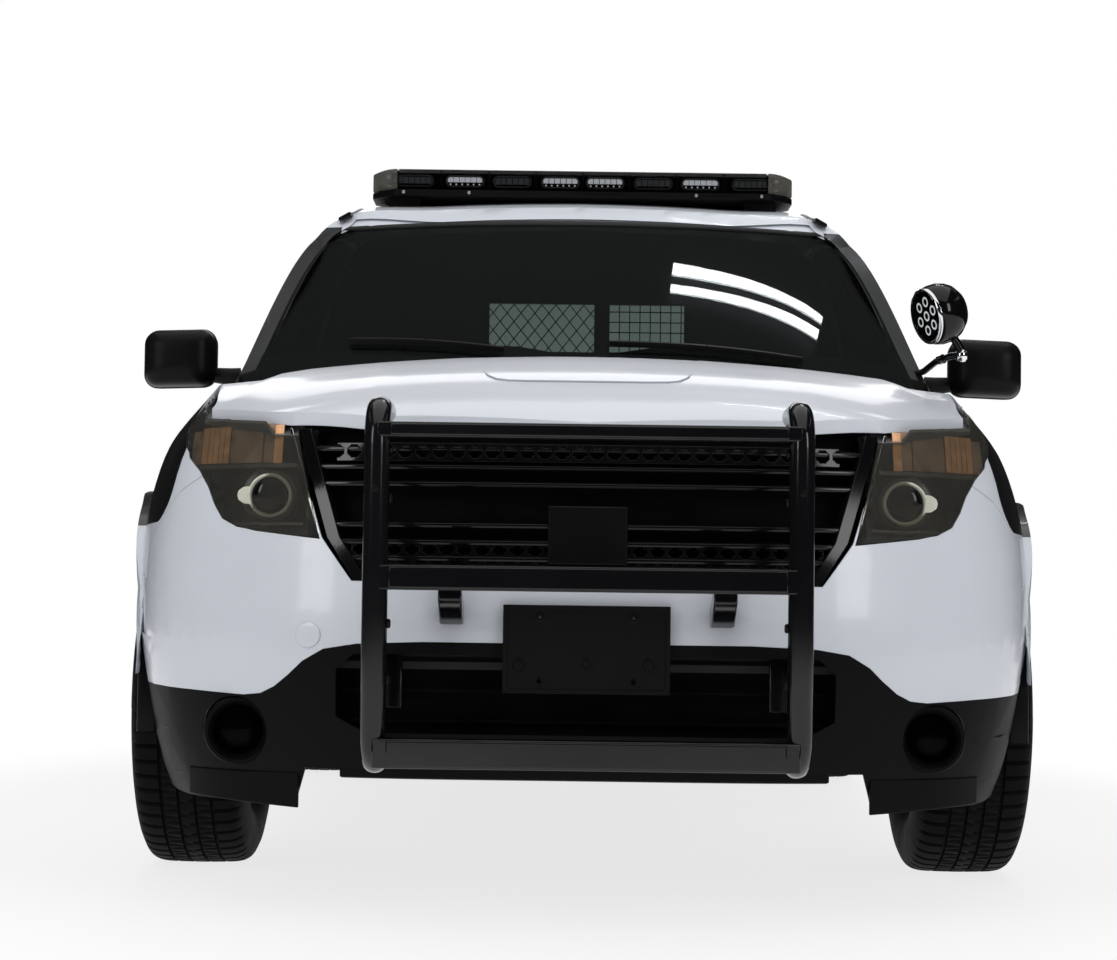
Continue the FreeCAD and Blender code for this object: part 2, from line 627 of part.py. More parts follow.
def hood_arm(x):
    """The hood's hinge arm at one side: from under its rear corner back to the pin."""
    s, z = HOOD_AXIS
    x0, x1 = x - HOOD_ARM_W / 2, x + HOOD_ARM_W / 2
    riser = box(x0, x1, s - 120, s - 62, z - 8, z + 22)
    arm = box(x0, x1, s - 120, s, z - 8, z + 8).fuse([riser, rod_x(s, z, 13, x0, x1)])
    return arm.cut(rod_x(s, z, HINGE_PIN_R + SEAT_GAP, x0 - 1, x1 + 1))


hood = fused(hood, hood_arm(HOOD_ARM_X), hood_arm(-HOOD_ARM_X))

CAVITY_X = 905.0
FIREWALL = (480.0, PILLAR_FRONT)
# Cowl. Per section: x, then s and z of its front edge and of its rear edge under the glass.
COWL = [(864, 515, 1112, 640, 1222), (430, 332, 1132, 470, 1242), (0, 272, 1147, 400, 1242)]
COWL_SKIN = 12.0
COWL_FOOT = 1046.0


def cowl_solid(drop, grow):
    """Straight between sections along the car: the left half's rows and their mirror images."""
    sections = []
    for x, front, z_front, back, z_back in COWL + [(-x, *rest) for x, *rest in COWL[-2::-1]]:
        s0, s1 = front - grow, back + grow
        top = [P(x, s0, z_front - drop), P(x, s1, z_back - drop)]
        sections.append(top + [P(x, s1, COWL_FOOT), P(x, s0, COWL_FOOT)])
    return loft(sections)


def make_bulkhead():
    """Firewall, and the cowl between the hood and the windscreen."""
    s0, s1 = FIREWALL
    fire = box(-CAVITY_X + 6, CAVITY_X - 6, s0, s1, FLOOR_Z - FLOOR_T, 1060)
    hollow = cowl_solid(COWL_SKIN, 2).common(box(-820, 820, 0, s0, 0, 2000))
    cowl = cowl_solid(0, 0).cut(hollow).cut(screen_block(-700, GLASS + SEAT_GAP))
    beside_hinges = both(box(832, 1000, 300, 800, 900, 1400)) + both(box(808, 1000, 545, 800, 900, 1400))
    shelf = box(-820, 820, s0, 560, COWL_FOOT - COWL_SKIN, COWL_FOOT)
    return fused(fire, cowl.cut(beside_hinges), shelf)


bulkhead = make_bulkhead()
bulkhead = bulkhead.cut(body_side.fuse(mirrored(body_side)))
bulkhead = max(bulkhead.Solids, key=lambda s: s.Volume)

# Headlamp and grille outlines, seen from the front.
HEADLAMP = [
    (575, 990), (800, 1020), (815, 940), (804, 903), (795, 884), (764, 857), (741, 822), (727, 788),
    (708, 759),
    (680, 743), (640, 735), (508, 720),
]
GRILLE = [(566, 990), (566, 935), (500, 722), (446, 640)]
FASCIA_LINE = [
    (1100, 424), (860, 424), (760, 421), (660, 416), (620, 420), (590, 434), (560, 458), (533, 484),
    (494, 508),
    (435, 519), (300, 524), (0, 528),
]
FASCIA_FOOT = [(528, 278), (556, 190)]    # underside between the corner air dams
SPLIT_LINE = [(-1100, 1100), (-424, 640)]  # side view: bumper cover below, fender above
SPLIT_GAP = 2.0
LAMP_GAP = 2.0
INTAKE = [(440, 500), (470, 470), (470, 380), (420, 350)]
FOG = (675.0, 346.0, 66.0)   # x, z and radius
NOSE_SPAN = (-1100.0, -424.0)
ARCH_FRONT = rod_x(0, TYRE_R, ARCH_R, -1200, 1200)

nose_shell = nose_outer.cut(nose_inner)
lamp_prism = front_prism(HEADLAMP, *NOSE_SPAN)
grille_prism = front_prism(both_sides(GRILLE), *NOSE_SPAN)
headlamp = minus(nose_outer.cut(nose_deep).common(lamp_prism), hood_clear, ARCH_FRONT)
headlamp = max(headlamp.Solids, key=lambda s: s.Volume)
lamp_clear = front_prism(grown(HEADLAMP, LAMP_GAP), *NOSE_SPAN)
grille_clear = front_prism(grown(both_sides(GRILLE), LAMP_GAP), *NOSE_SPAN)
nose_skin = minus(nose_shell, *both(lamp_clear), grille_clear, hood_clear, ARCH_FRONT)
fascia_line = [(-x, z) for x, z in FASCIA_LINE[:-1]] + FASCIA_LINE[-2::-1]
fascia_zone = front_prism(fascia_line + [(1100, 0), (-1100, 0)], *NOSE_SPAN)
under_split = side_prism(SPLIT_LINE + [(NOSE_SPAN[1], 0), (NOSE_SPAN[0], 0)], -1100, 1100)
bumper_cover = nose_skin.common(under_split).cut(fascia_zone)
bumper_cover = max(bumper_cover.Solids, key=lambda s: s.Volume)
fog_hole = rod(P(FOG[0], NOSE_SPAN[0], FOG[1]), P(FOG[0], NOSE_SPAN[0] + 500, FOG[1]), FOG[2])
lower_fascia = minus(
    nose_skin.common(fascia_zone), front_prism(both_sides(INTAKE), *NOSE_SPAN),
    front_prism(both_sides(FASCIA_FOOT), *NOSE_SPAN), *both(fog_hole),
)
lower_fascia = max(lower_fascia.Solids, key=lambda s: s.Volume)
over_split = [(s, z + SPLIT_GAP) for s, z in SPLIT_LINE] + [(NOSE_SPAN[1], 1300), (NOSE_SPAN[0], 1300)]
fender_nose = nose_skin.common(side_prism(over_split, -1100, 1100))
fender_skin = front_outer.cut(front_inner).fuse(fender_nose).common(LEFT_HALF)
fender = minus(fender_skin, hood_clear, ARCH_FRONT, box(0, 1200, -424, 0, 0, 500),
               side_prism(grown(FRONT_DOOR, SHUT), 0, 1200))
fender_flange = box(HINGE_PILLAR_OUT + SEAT_GAP, 972, 520, 545, 330, 880)
lip_plan = plan_prism([(0, -700)] + FRONT_LIP + [(0, 700)], 0, 1000)
front_lip = flare(0, 930, 440).common(lip_plan).cut(front_inner)
fender = fused(fender, fender_flange, front_lip)
fender = fender.cut([ARCH_FRONT, screen_zone, hood_notch])
fender = max(fender.Solids, key=lambda s: s.Volume).cut([body_side, bulkhead, bumper_cover])
fender = max(fender.Solids, key=lambda s: s.Volume)


# ---------------------------------------------------------------- wheels, knuckles
# Rim section, as x outward from the wheel's middle plane and radius.
WHEEL_X = TRACK / 2
HUB_X = 40.0                 # hub face, outboard of the wheel's middle plane
PILOT_R = 32.0
HUB_R = 70.0
KINGPIN_X = WHEEL_X - 60.0
KINGPIN_R = 10.0
RIM_HALF = 95.0
# Tyre section, from the bead to the middle of the tread.
TYRE_HALF = [
    (RIM_HALF, RIM_R + SEAT_GAP), (108, 250), (TYRE_WIDTH / 2, 290), (118, 330), (100, 354), (70, TYRE_R),
]
TYRE_SECTION = [(-x, r) for x, r in TYRE_HALF] + TYRE_HALF[::-1]
RIM_FLANGE = 108.0
RIM_HALF_SECTION = [(60, 190), (RIM_FLANGE, 212), (RIM_FLANGE, 222), (RIM_HALF, 222), (RIM_HALF, RIM_R)]
DISH_R = 196.0
DISH_T = 26.0
SPOKES = 5
SPOKE_GAP = (138.0, 42.0)     # radius to each opening's middle, and its own radius


def turned_x(profile, x, s, z):
    """A profile of (x, radius) points turned about the wheel's axis."""
    return face([P(x + dx, s, z + r) for dx, r in profile]).revolve(P(x, s, z), V(1, 0, 0), 360)


def make_wheel(s):
    """Tyre and rim of the left wheel at station s."""
    tyre = turned_x(TYRE_SECTION, WHEEL_X, s, TYRE_R)
    barrel = turned_x([(-x, r) for x, r in RIM_HALF_SECTION[::-1]] + RIM_HALF_SECTION, WHEEL_X, s, TYRE_R)
    bore = [(-109, 204), (-60, 182), (60, 182), (109, 204), (109, 1), (-109, 1)]
    barrel = barrel.cut(turned_x(bore, WHEEL_X, s, TYRE_R))
    face_x = WHEEL_X + HUB_X + SEAT_GAP
    dish = rod_x(s, TYRE_R, DISH_R, face_x, face_x + DISH_T)
    hub = rod_x(s, TYRE_R, HUB_R + 8, face_x, face_x + DISH_T + 14)
    windows = []
    for i in range(SPOKES):
        hole = rod_x(s, TYRE_R + SPOKE_GAP[0], SPOKE_GAP[1], WHEEL_X, WHEEL_X + 200)
        windows.append(hole.rotate(P(0, s, TYRE_R), V(1, 0, 0), 360 * (i + 0.5) / SPOKES))
    rim = fused(barrel, minus(dish, *windows), hub)
    bore = rod_x(s, TYRE_R, PILOT_R + SEAT_GAP, WHEEL_X, WHEEL_X + 200)
    rim = rim.cut(bore)
    tyre = tyre.cut(rim)
    return tyre, rim


BALL_LOW, BALL_TOP = 238.0, 488.0
ARM_T = 22.0


def make_knuckle(s, steered):
    """Upright, hub and brake of the left wheel."""
    z = TYRE_R
    arm_gap = ARM_T / 2 + 3
    post = box(KINGPIN_X - 26, KINGPIN_X + 20, s - 28, s + 28, BALL_LOW + arm_gap, BALL_TOP - arm_gap)
    carrier = rod_x(s, z, 62, KINGPIN_X - 26, KINGPIN_X + 34)
    flange = rod_x(s, z, HUB_R, WHEEL_X + HUB_X - 14, WHEEL_X + HUB_X)
    shaft = rod_x(s, z, 30, KINGPIN_X, WHEEL_X + HUB_X)
    pilot = rod_x(s, z, PILOT_R, WHEEL_X + HUB_X - 1, WHEEL_X + HUB_X + 32)
    disc = rod_x(s, z, 168, WHEEL_X - 4, WHEEL_X + 24)
    caliper = box(KINGPIN_X + 30, WHEEL_X + 34, s + 96, s + 150, z - 70, z + 70)
    bracket = box(KINGPIN_X + 10, KINGPIN_X + 40, s, s + 120, z - 45, z + 45)
    body = fused(post, carrier, flange, shaft, pilot, disc, caliper, bracket)
    if steered:
        hole_r = KINGPIN_R + SEAT_GAP
        lower, upper = (0, BALL_LOW + 60), (BALL_TOP - 60, 900)
        body = minus(body, rod_z(KINGPIN_X, s, hole_r, *lower), rod_z(KINGPIN_X, s, hole_r, *upper))
    return body


tyre_front, rim_front = make_wheel(0.0)
tyre_rear, rim_rear = make_wheel(WHEELBASE)
knuckle_front = make_knuckle(0.0, True)
knuckle_rear = make_knuckle(WHEELBASE, False)

# ---------------------------------------------------------------- chassis
RAIL_X = (410.0, 480.0)
RAIL_Z = (430.0, 540.0)
RAIL_FRONT = -830.0
KICK_UP = 2470.0             # step from the front floor to the cargo floor
TUNNEL_Z = 480.0
BEAM = (560.0, -880.0, 470.0, 560.0)     # half-width, front face, z of its foot and head
FRONT_FRAME_X = (520.0, 745.0)           # frame round the cooling pack, ahead of the wheels
FRONT_FRAME_S = (-860.0, -820.0)
FRONT_FRAME_Z = (320.0, 905.0)
FRAME_BAR = 25.0
FLOOR_RAIL_Z = 250.0
FLOOR_HALF = 800.0
CARGO_END = 3860.0
TUB_X = 640.0                            # inner face of the rear wheel tubs
TUB_T = 8.0


def hollow_rows(table, skin):
    """The rows of a shell's hollow: lowered past its foot, and kept a skin below its top."""
    return [(table[0][0] - 10,) + table[0][1:]] + table[1:-1] + [(table[-1][0] - skin,) + table[-1][1:]]


bumper_form = loft([tail_bumper_section(r) for r in TAIL_BUMPER])
bumper_inner = loft([tail_bumper_section(r, SKIN) for r in hollow_rows(TAIL_BUMPER, SKIN)])


def make_underbody():
    """Rails, front beam and frame, floors with the tunnel, and the rear wheel tubs."""
    x0, x1 = RAIL_X
    cabin_front = FIREWALL[0]
    parts = both(box(x0, x1, RAIL_FRONT, cabin_front, *RAIL_Z))
    parts += both(box(x0, x1, cabin_front - 100, cabin_front, FLOOR_RAIL_Z, RAIL_Z[1]))
    half, front, low, high = BEAM
    parts.append(box(-half, half, front, RAIL_FRONT, low, high))
    frame_s, (frame_low, frame_high) = FRONT_FRAME_S, FRONT_FRAME_Z
    parts += both(box(FRONT_FRAME_X[0], half, *frame_s, frame_low + 20, frame_high))
    parts.append(box(-half, half, *frame_s, frame_high - FRAME_BAR, frame_high))
    parts.append(box(-half, half, *frame_s, frame_low, frame_low + FRAME_BAR))
    side_x = (FRONT_FRAME_X[1] - 45, FRONT_FRAME_X[1])
    parts += both(box(*side_x, -560, cabin_front, frame_high, 960))
    parts += both(box(FRONT_FRAME_X[0], side_x[1], frame_s[0], -560, frame_high - FRAME_BAR, frame_high))
    parts += both(box(*side_x, -600, -540, frame_high - FRAME_BAR, 960))
    parts.append(box(-FLOOR_HALF, FLOOR_HALF, cabin_front, KICK_UP + FLOOR_T, FLOOR_Z - FLOOR_T, FLOOR_Z))
    parts.append(box(-150, 150, FIREWALL[1], KICK_UP, FLOOR_Z, TUNNEL_Z))
    parts += both(box(x0, x1, cabin_front, KICK_UP + 10, FLOOR_RAIL_Z, FLOOR_Z - FLOOR_T))
    parts.append(box(-TUB_X, TUB_X, KICK_UP, KICK_UP + FLOOR_T, FLOOR_Z, CARGO_Z))
    parts.append(box(-TUB_X, TUB_X, KICK_UP, CARGO_END, CARGO_Z - 30, CARGO_Z))
    parts.append(box(-FLOOR_HALF, FLOOR_HALF, 3330, CARGO_END, CARGO_Z - 30, CARGO_Z))
    parts += both(box(x0, x1, KICK_UP, CARGO_END, RAIL_Z[1], CARGO_Z - 30))
    parts.append(box(-580, 580, CARGO_END, CARGO_END + 60, 520, 640))
    tub_r = ARCH_R + LINER_GAP
    tub = ring_x(WHEELBASE, TYRE_R, tub_r, tub_r + TUB_T, TUB_X - TUB_T, 1000)
    tub = tub.fuse(rod_x(WHEELBASE, TYRE_R, tub_r + TUB_T, TUB_X - TUB_T, TUB_X))
    parts += both(tub.common(box(600, 1000, 2300, 3400, FLOOR_Z - FLOOR_T, 900)))
    body = parts[0].fuse(parts[1:])
    tunnel = box(-120, 120, cabin_front - 1, KICK_UP, 200, TUNNEL_Z - 30)
    body = minus(body, tunnel, *both(rod_x(WHEELBASE, TYRE_R, tub_r, TUB_X, 1000)))
    body = minus(body, body_side, mirrored(body_side), bulkhead, bumper_form.cut(bumper_inner))
    return largest(minus(body, *both(headlamp), lower_fascia))


underbody = make_underbody()

SUBFRAME_X = 470.0
SUBFRAME_Z = (220.0, 300.0)
ARM_ROOT = 440.0             # inner ends of the suspension arms
PIN_LENGTH = 45.0
SPRING_TOP = 760.0
DRIVE_R = 90.0
SHAFT_R = 20.0


def arms(s, reach_x, with_pins):
    """Suspension arms of one axle's left side, with the kingpin stubs."""
    outline = [
        (KINGPIN_X + 18, s - 20), (KINGPIN_X + 18, s + 20), (KINGPIN_X - 40, s + 24),
        (reach_x, s + 130), (reach_x, s + 90), (KINGPIN_X - 110, s),
        (reach_x, s - 90), (reach_x, s - 130), (KINGPIN_X - 40, s - 24),
    ]
    parts = [plan_prism(outline, z - ARM_T / 2, z + ARM_T / 2) for z in (BALL_LOW, BALL_TOP)]
    if with_pins:
        parts.append(rod_z(KINGPIN_X, s, KINGPIN_R, BALL_LOW, BALL_LOW + PIN_LENGTH))
        parts.append(rod_z(KINGPIN_X, s, KINGPIN_R, BALL_TOP - PIN_LENGTH, BALL_TOP))
    return parts


def make_front_subframe():
    """Two side rails and three cross members, with arms, spring towers and springs."""
    foot, top = SUBFRAME_Z
    parts = both(box(ARM_ROOT - 35, SUBFRAME_X, -330, 330, foot, top - 40))
    parts += [box(-SUBFRAME_X, SUBFRAME_X, s, s + 80, foot, top - 40) for s in (-330, 250)]
    parts.append(box(-SUBFRAME_X, SUBFRAME_X, -60, 60, foot, top))
    for part in arms(0.0, ARM_ROOT, True):
        parts += both(part)
    parts += both(box(420, SUBFRAME_X, -140, 140, foot, RAIL_Z[0] - SEAT_GAP))
    parts += both(box(480, 500, -140, 140, 420, SPRING_TOP))
    parts += both(rod(P(600, 0, 260), P(520, 0, SPRING_TOP), 38))
    parts += both(box(430, 560, -60, 60, SPRING_TOP, SPRING_TOP + 30))
    return fused(*parts)


front_subframe = make_front_subframe().cut(underbody)
front_subframe = largest(front_subframe)


def make_rear_axle():
    """A frame with the final drive and its shafts, both hub carriers, their arms and dampers."""
    s, hub_z = WHEELBASE, TYRE_R
    parts = both(box(420, 480, s - 260, s + 260, 420, 470))
    parts += [box(-480, 480, front, front + 60, 400, 440) for front in (s - 240, s + 180)]
    parts.append(rod(P(0, s - 190, hub_z), P(0, s + 190, hub_z), DRIVE_R))
    parts.append(box(-120, 120, s - 200, s + 200, hub_z, 430))
    parts.append(rod_x(s, hub_z, SHAFT_R, -KINGPIN_X, KINGPIN_X))
    side = arms(s, ARM_ROOT, False)
    side += [knuckle_rear, rod_z(KINGPIN_X, s, 24, BALL_LOW, BALL_TOP)]
    side += [rod(P(600, s, 240), P(560, s, 628), 32), box(420, 480, s - 120, s + 120, 230, 520)]
    side += [box(440, 460, front, front + 50, 460, RAIL_Z[1]) for front in (s - 250, s + 200)]
    for part in side:
        parts += both(part)
    return fused(*parts)


rear_axle = make_rear_axle().cut(underbody)
rear_axle = largest(rear_axle)

# Half-width, front, rear, foot and head of the blocks under the hood.
ENGINE = (320.0, -470.0, 240.0, 300.0, 930.0)
engine = box(-ENGINE[0], ENGINE[0], *ENGINE[1:])
COOLER = (370.0, -819.7, -740.0, 345.3, 860.0)
cooling_pack = box(-COOLER[0], COOLER[0], *COOLER[1:])
TANK = (440.0, 1700.0, 2400.0, 170.0)    # half-width, front, rear and foot
tank = box(-TANK[0], TANK[0], *TANK[1:], FLOOR_RAIL_Z - SEAT_GAP)
EXHAUST = (530.0, 215.0, 32.0, 300.0, 2370.0)    # x, z, radius, front and rear end of the pipe
HANGERS = (700.0, 1500.0, 2300.0)


def make_exhaust():
    """A pipe beside the floor rail on hangers from the floor, with a silencer box."""
    x, z, r, s0, s1 = EXHAUST
    parts = [rod(P(x, s0, z), P(x, s1, z), r), box(x - 38, x + 90, 1000, 1480, z - 50, z + 50)]
    parts += [box(x - 6, x + 6, s - 15, s + 15, z, FLOOR_Z - FLOOR_T - SEAT_GAP) for s in HANGERS]
    return fused(*parts)


exhaust = make_exhaust()

# ---------------------------------------------------------------- bumpers, grille, lamps
under_floor = box(-820, 820, 3200, CARGO_END + 2, TAIL_BUMPER[-1][0] - SKIN - 1, 720)
wheel_space = rod_x(WHEELBASE, TYRE_R, ARCH_R + 4, -1100, 1100)
rear_bumper = minus(bumper_form, bumper_inner, under_floor, wheel_space, *both(body_side), gate)
rear_bumper = largest(rear_bumper)

PUSH_S = -1104.0             # middle of the uprights' tubes, ahead of the front axle
PUSH_X = 392.0
PUSH_R = 24.0
PUSH_HEAD, PUSH_FOOT = 940.0, 300.0
PUSH_BEND = 70.0
PUSH_CHANNELS = [(903, 931), (622, 668), (296, 350)]    # z of the foot and head of each cross channel
CHANNEL_DEPTH = 44.0


def make_push_bumper():
    """Two bent tubes joined by channels, on brackets to the bumper beam."""
    parts = []
    for x in (-PUSH_X, PUSH_X):
        line = [
            P(x, PUSH_S + 150, PUSH_HEAD + 20), P(x, PUSH_S, PUSH_HEAD + 20),
            P(x, PUSH_S, PUSH_FOOT), P(x, PUSH_S + 170, PUSH_FOOT - 70),
        ]
        parts.append(bent_tube(line, PUSH_R, PUSH_BEND))
        parts.append(box(x - 12, x + 12, PUSH_S, BEAM[1], 395, 480))
        parts.append(box(x - 40, x + 40, BEAM[1] - 8, BEAM[1], 395, 560))
    front = PUSH_S - CHANNEL_DEPTH / 2
    parts += [box(-PUSH_X, PUSH_X, front, front + CHANNEL_DEPTH, z0, z1) for z0, z1 in PUSH_CHANNELS]
    return fused(*parts)


push_bumper = make_push_bumper()
PLATE = (158.0, 430.0, 597.0)            # half-width, z of foot and head
PLATE_S = -985.0
PLATE_BACK = -968.0
PLATE_HOLES = (177.8, 120.65, 3.2)       # spacing across, spacing up, radius
plate = box(-PLATE[0], PLATE[0], PLATE_S, PLATE_BACK - SEAT_GAP, PLATE[1], PLATE[2])
for hole_x in (-PLATE_HOLES[0] / 2, PLATE_HOLES[0] / 2):
    for up in (-PLATE_HOLES[1] / 2, PLATE_HOLES[1] / 2):
        hole_z = (PLATE[1] + PLATE[2]) / 2 + up
        ends = (P(hole_x, PLATE_S - 10, hole_z), P(hole_x, PLATE_BACK + 20, hole_z))
        plate = plate.cut(rod(*ends, PLATE_HOLES[2]))
plate = plate.cut(nose_outer)
plate = largest(plate)

GRILLE_DEPTH = 40.0
GRILLE_SLOTS = [655, 695, 735, 775, 815, 855]    # foot of each slot
SLOT_HEIGHT = 26.0
GRILLE_RIM = 30.0
GRILLE_BARS = [-360, -180, 0, 180, 360]
BAR_HALF = 4.0
grille_form = nose_outer.cut(loft([nose_section(r, GRILLE_DEPTH) for r in NOSE])).common(grille_prism)
grille_form = minus(grille_form, hood_clear, *both(headlamp))
slot_zone = front_prism(grown(both_sides(GRILLE), -GRILLE_RIM), *NOSE_SPAN)
bars = [box(x - BAR_HALF, x + BAR_HALF, -1100, -500, 640, 900) for x in GRILLE_BARS]
slots = [box(-600, 600, -1100, -500, z, z + SLOT_HEIGHT).common(slot_zone).cut(bars) for z in GRILLE_SLOTS]
grille = largest(grille_form.cut(slots + [underbody]))

# ---------------------------------------------------------------- roof equipment, mirrors
BAR_S = (1450.0, 1750.0)
BAR_Z = (1786.0, 1848.0)
BAR_X = 616.0


def bar_plan(inset, chamfer):
    """Plan of the light bar, its corners cut off."""
    x, s0, s1 = BAR_X - inset, BAR_S[0] + inset, BAR_S[1] - inset
    half = [(x - chamfer, s0), (x, s0 + 90 - inset / 2), (x, s1 - 90 + inset / 2), (x - chamfer, s1)]
    return half + [(-across, s) for across, s in half[::-1]]


def make_light_bar():
    """The base on its two feet, and the lens over it."""
    base = plan_prism(bar_plan(0, 70), BAR_Z[0] - 16, BAR_Z[0])
    lens = plan_prism(bar_plan(4, 70), *BAR_Z)
    feet = both(box(475, 565, BAR_S[0] + 60, BAR_S[1] - 60, 1640, BAR_Z[0] - 10))
    return fused(base, *feet).cut(roof), lens


light_bar_base, light_bar_lens = make_light_bar()
light_bar_base = largest(light_bar_base)

# Mirror housing: s, then x and z round the outline.
MIRROR_SECTIONS = [
    (632, [(985, 1172), (1085, 1166), (1112, 1192), (1106, 1258), (1076, 1280), (992, 1268)]),
    (690, [(955, 1142), (1112, 1140), (1142, 1176), (1136, 1272), (1098, 1298), (972, 1288)]),
    (745, [(950, 1140), (1114, 1138), (1145, 1175), (1140, 1275), (1100, 1302), (968, 1292)]),
]


def make_mirror():
    """Left mirror housing and its arm on the door's front corner."""
    housing = loft([[P(x, s, z) for x, z in outline] for s, outline in MIRROR_SECTIONS])
    arm = box(850, 1000, 704, 742, 1150, 1182)
    return fused(housing, arm).cut([door_front, cabin_outer])


mirror = make_mirror()
mirror = largest(mirror)
SPOT = P(895, 440, 1314)
SPOT_R = 66.0
SPOT_ELBOW = P(868, 600, 1185)
SPOT_ARM_R = 12.0
spot_arm = rod(SPOT + V(0, 30, -30), SPOT_ELBOW, SPOT_ARM_R)
spot_foot = rod(SPOT_ELBOW, P(840, 640, 1190), SPOT_ARM_R)
spotlight = fused(Part.makeSphere(SPOT_R, SPOT), spot_arm, spot_foot)
spotlight = spotlight.cut([body_side, windshield, cabin_outer])
spotlight = largest(spotlight)

# ---------------------------------------------------------------- interior
DASH = [
    (FIREWALL[1], 720), (FIREWALL[1], 1034), (560, 1034), (560, 1062),
    (640, 1110), (800, 1060), (850, 960), (800, 740),
]
STEERING_X = 380.0
STEERING_HUB = P(STEERING_X, 905, 1012)
STEERING_R = 170.0
dashboard = side_prism(DASH, -FLOOR_HALF, FLOOR_HALF)
column = rod(P(STEERING_X, 780, 960), P(STEERING_X, 900, 1010), 32)
wheel_ring = Part.makeTorus(STEERING_R, 14, STEERING_HUB, V(0, 0.92, 0.39))
spoke = rod(STEERING_HUB + V(STEERING_R - 5, 0, 0), STEERING_HUB - V(STEERING_R - 5, 0, 0), 13)
steering_wheel = fused(column, wheel_ring, spoke)
dashboard = fused(dashboard, steering_wheel).cut(bulkhead)
dashboard = largest(dashboard)


SEAT_X, SEAT_WIDTH, SEAT_S = 400.0, 500.0, 1000.0
# Side view of the cushion and back, ahead of and above the seat's front corner on the floor.
SEAT_OUTLINE = [(0, 130), (20, 250), (470, 215), (610, 850), (700, 845), (610, 110), (300, 80)]
REST_OUTLINE = [(640, 865), (655, 1025), (725, 1015), (715, 865)]


def make_seat():
    """The left front seat: base, cushion, back and head restraint."""
    def slab(outline, half):
        return side_prism([(SEAT_S + s, FLOOR_Z + z) for s, z in outline], SEAT_X - half, SEAT_X + half)

    base = box(SEAT_X - 190, SEAT_X + 190, SEAT_S + 90, SEAT_S + 520, FLOOR_Z, FLOOR_Z + 140)
    posts = [box(SEAT_X + x, SEAT_X + x + 15, SEAT_S + 665, SEAT_S + 680, 1150, 1260) for x in (-60, 45)]
    return fused(slab(SEAT_OUTLINE, SEAT_WIDTH / 2), slab(REST_OUTLINE, 130), base, *posts)


seat = make_seat()
REAR_SEAT = [
    (2180, FLOOR_Z), (2150, 560), (2250, 590), (2430, 575), (2560, 1150), (2650, 1150),
    (2570, CARGO_Z), (KICK_UP, CARGO_Z), (KICK_UP, FLOOR_Z),
]
rear_seat = side_prism(REAR_SEAT, -620, 620).cut(underbody)
PARTITION = (1745.0, 1765.0)
PARTITION_OPENING = (690.0, 1180.0, 1560.0)    # half-width, z of foot and head
opening = box(-PARTITION_OPENING[0], PARTITION_OPENING[0], *PARTITION, *PARTITION_OPENING[1:])
partition = cavity.common(box(-900, 900, *PARTITION, FLOOR_Z, 1800))
partition = partition.cut(cavity.common(opening))
partition = largest(minus(partition, underbody, *both(body_side)))

# ---------------------------------------------------------------- sub-parts
node("underbody", underbody)
node("front_subframe", front_subframe)
node("rear_axle", rear_axle)
node("engine", engine)
node("cooling_pack", cooling_pack)
node("fuel_tank", tank)
node("exhaust", exhaust)
node("rear_bumper", rear_bumper)
node("push_bumper", push_bumper)
node("plate_bracket", plate)
node("grille", grille)
node("light_bar_base", light_bar_base)
node("light_bar_lens", light_bar_lens)
node("spotlight", spotlight)
node("dashboard", dashboard)
node("front_seats", seat, mirrored(seat))
node("rear_seat", rear_seat)
node("partition", partition)
node("body_side_left", body_side)
node("body_side_right", mirrored(body_side))
node("roof_panel", roof)
node("liftgate", gate)
node("liftgate_glass", gate_glass)
node("hood", hood)
node("bulkhead", bulkhead)
node("front_fenders", fender, mirrored(fender))
node("bumper_cover", bumper_cover)
node("lower_fascia", lower_fascia)
node("headlamps", headlamp, mirrored(headlamp))
node("tail_lamps", tail_lamp, mirrored(tail_lamp))
node("windshield", windshield)
node("quarter_glass", glass_quarter, mirrored(glass_quarter))
for side, turn in (("left", lambda q: q), ("right", mirrored)):
    node("door_front_" + side, turn(door_front))
    node("door_rear_" + side, turn(door_rear))
    node("glass_front_" + side, turn(glass_front))
    node("glass_rear_" + side, turn(glass_rear))
    node("mirror_" + side, turn(mirror))
    node("knuckle_" + side, turn(knuckle_front))
    node("tyre_front_" + side, turn(tyre_front))
    node("rim_front_" + side, turn(rim_front))
    node("tyre_rear_" + side, turn(tyre_rear))
    node("rim_rear_" + side, turn(rim_rear))

os.makedirs("parts", exist_ok=True)
for name, solids in NODES.items():
    shape = Part.makeCompound(solids)
    shape.exportStep("parts/" + name + ".step")
    note = "" if shape.isValid() and solids else "  CHECK"
    print(f"{name:18} {len(solids)} solids {shape.Volume / 1e6:9.2f} litres{note}")
print(len(NODES), "nodes")
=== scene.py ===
"""Looks of the four-door police utility vehicle: smooth skins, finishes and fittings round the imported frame.

Metres, in the frame's own axes: the front towards -Y, the left side towards +X, the ground at Z = 0.
Tables are in millimetres, with s measured behind the front axle.
"""

import functools
import json
import math

import bmesh
import bpy
import numpy as np
from mathutils import Matrix, Vector

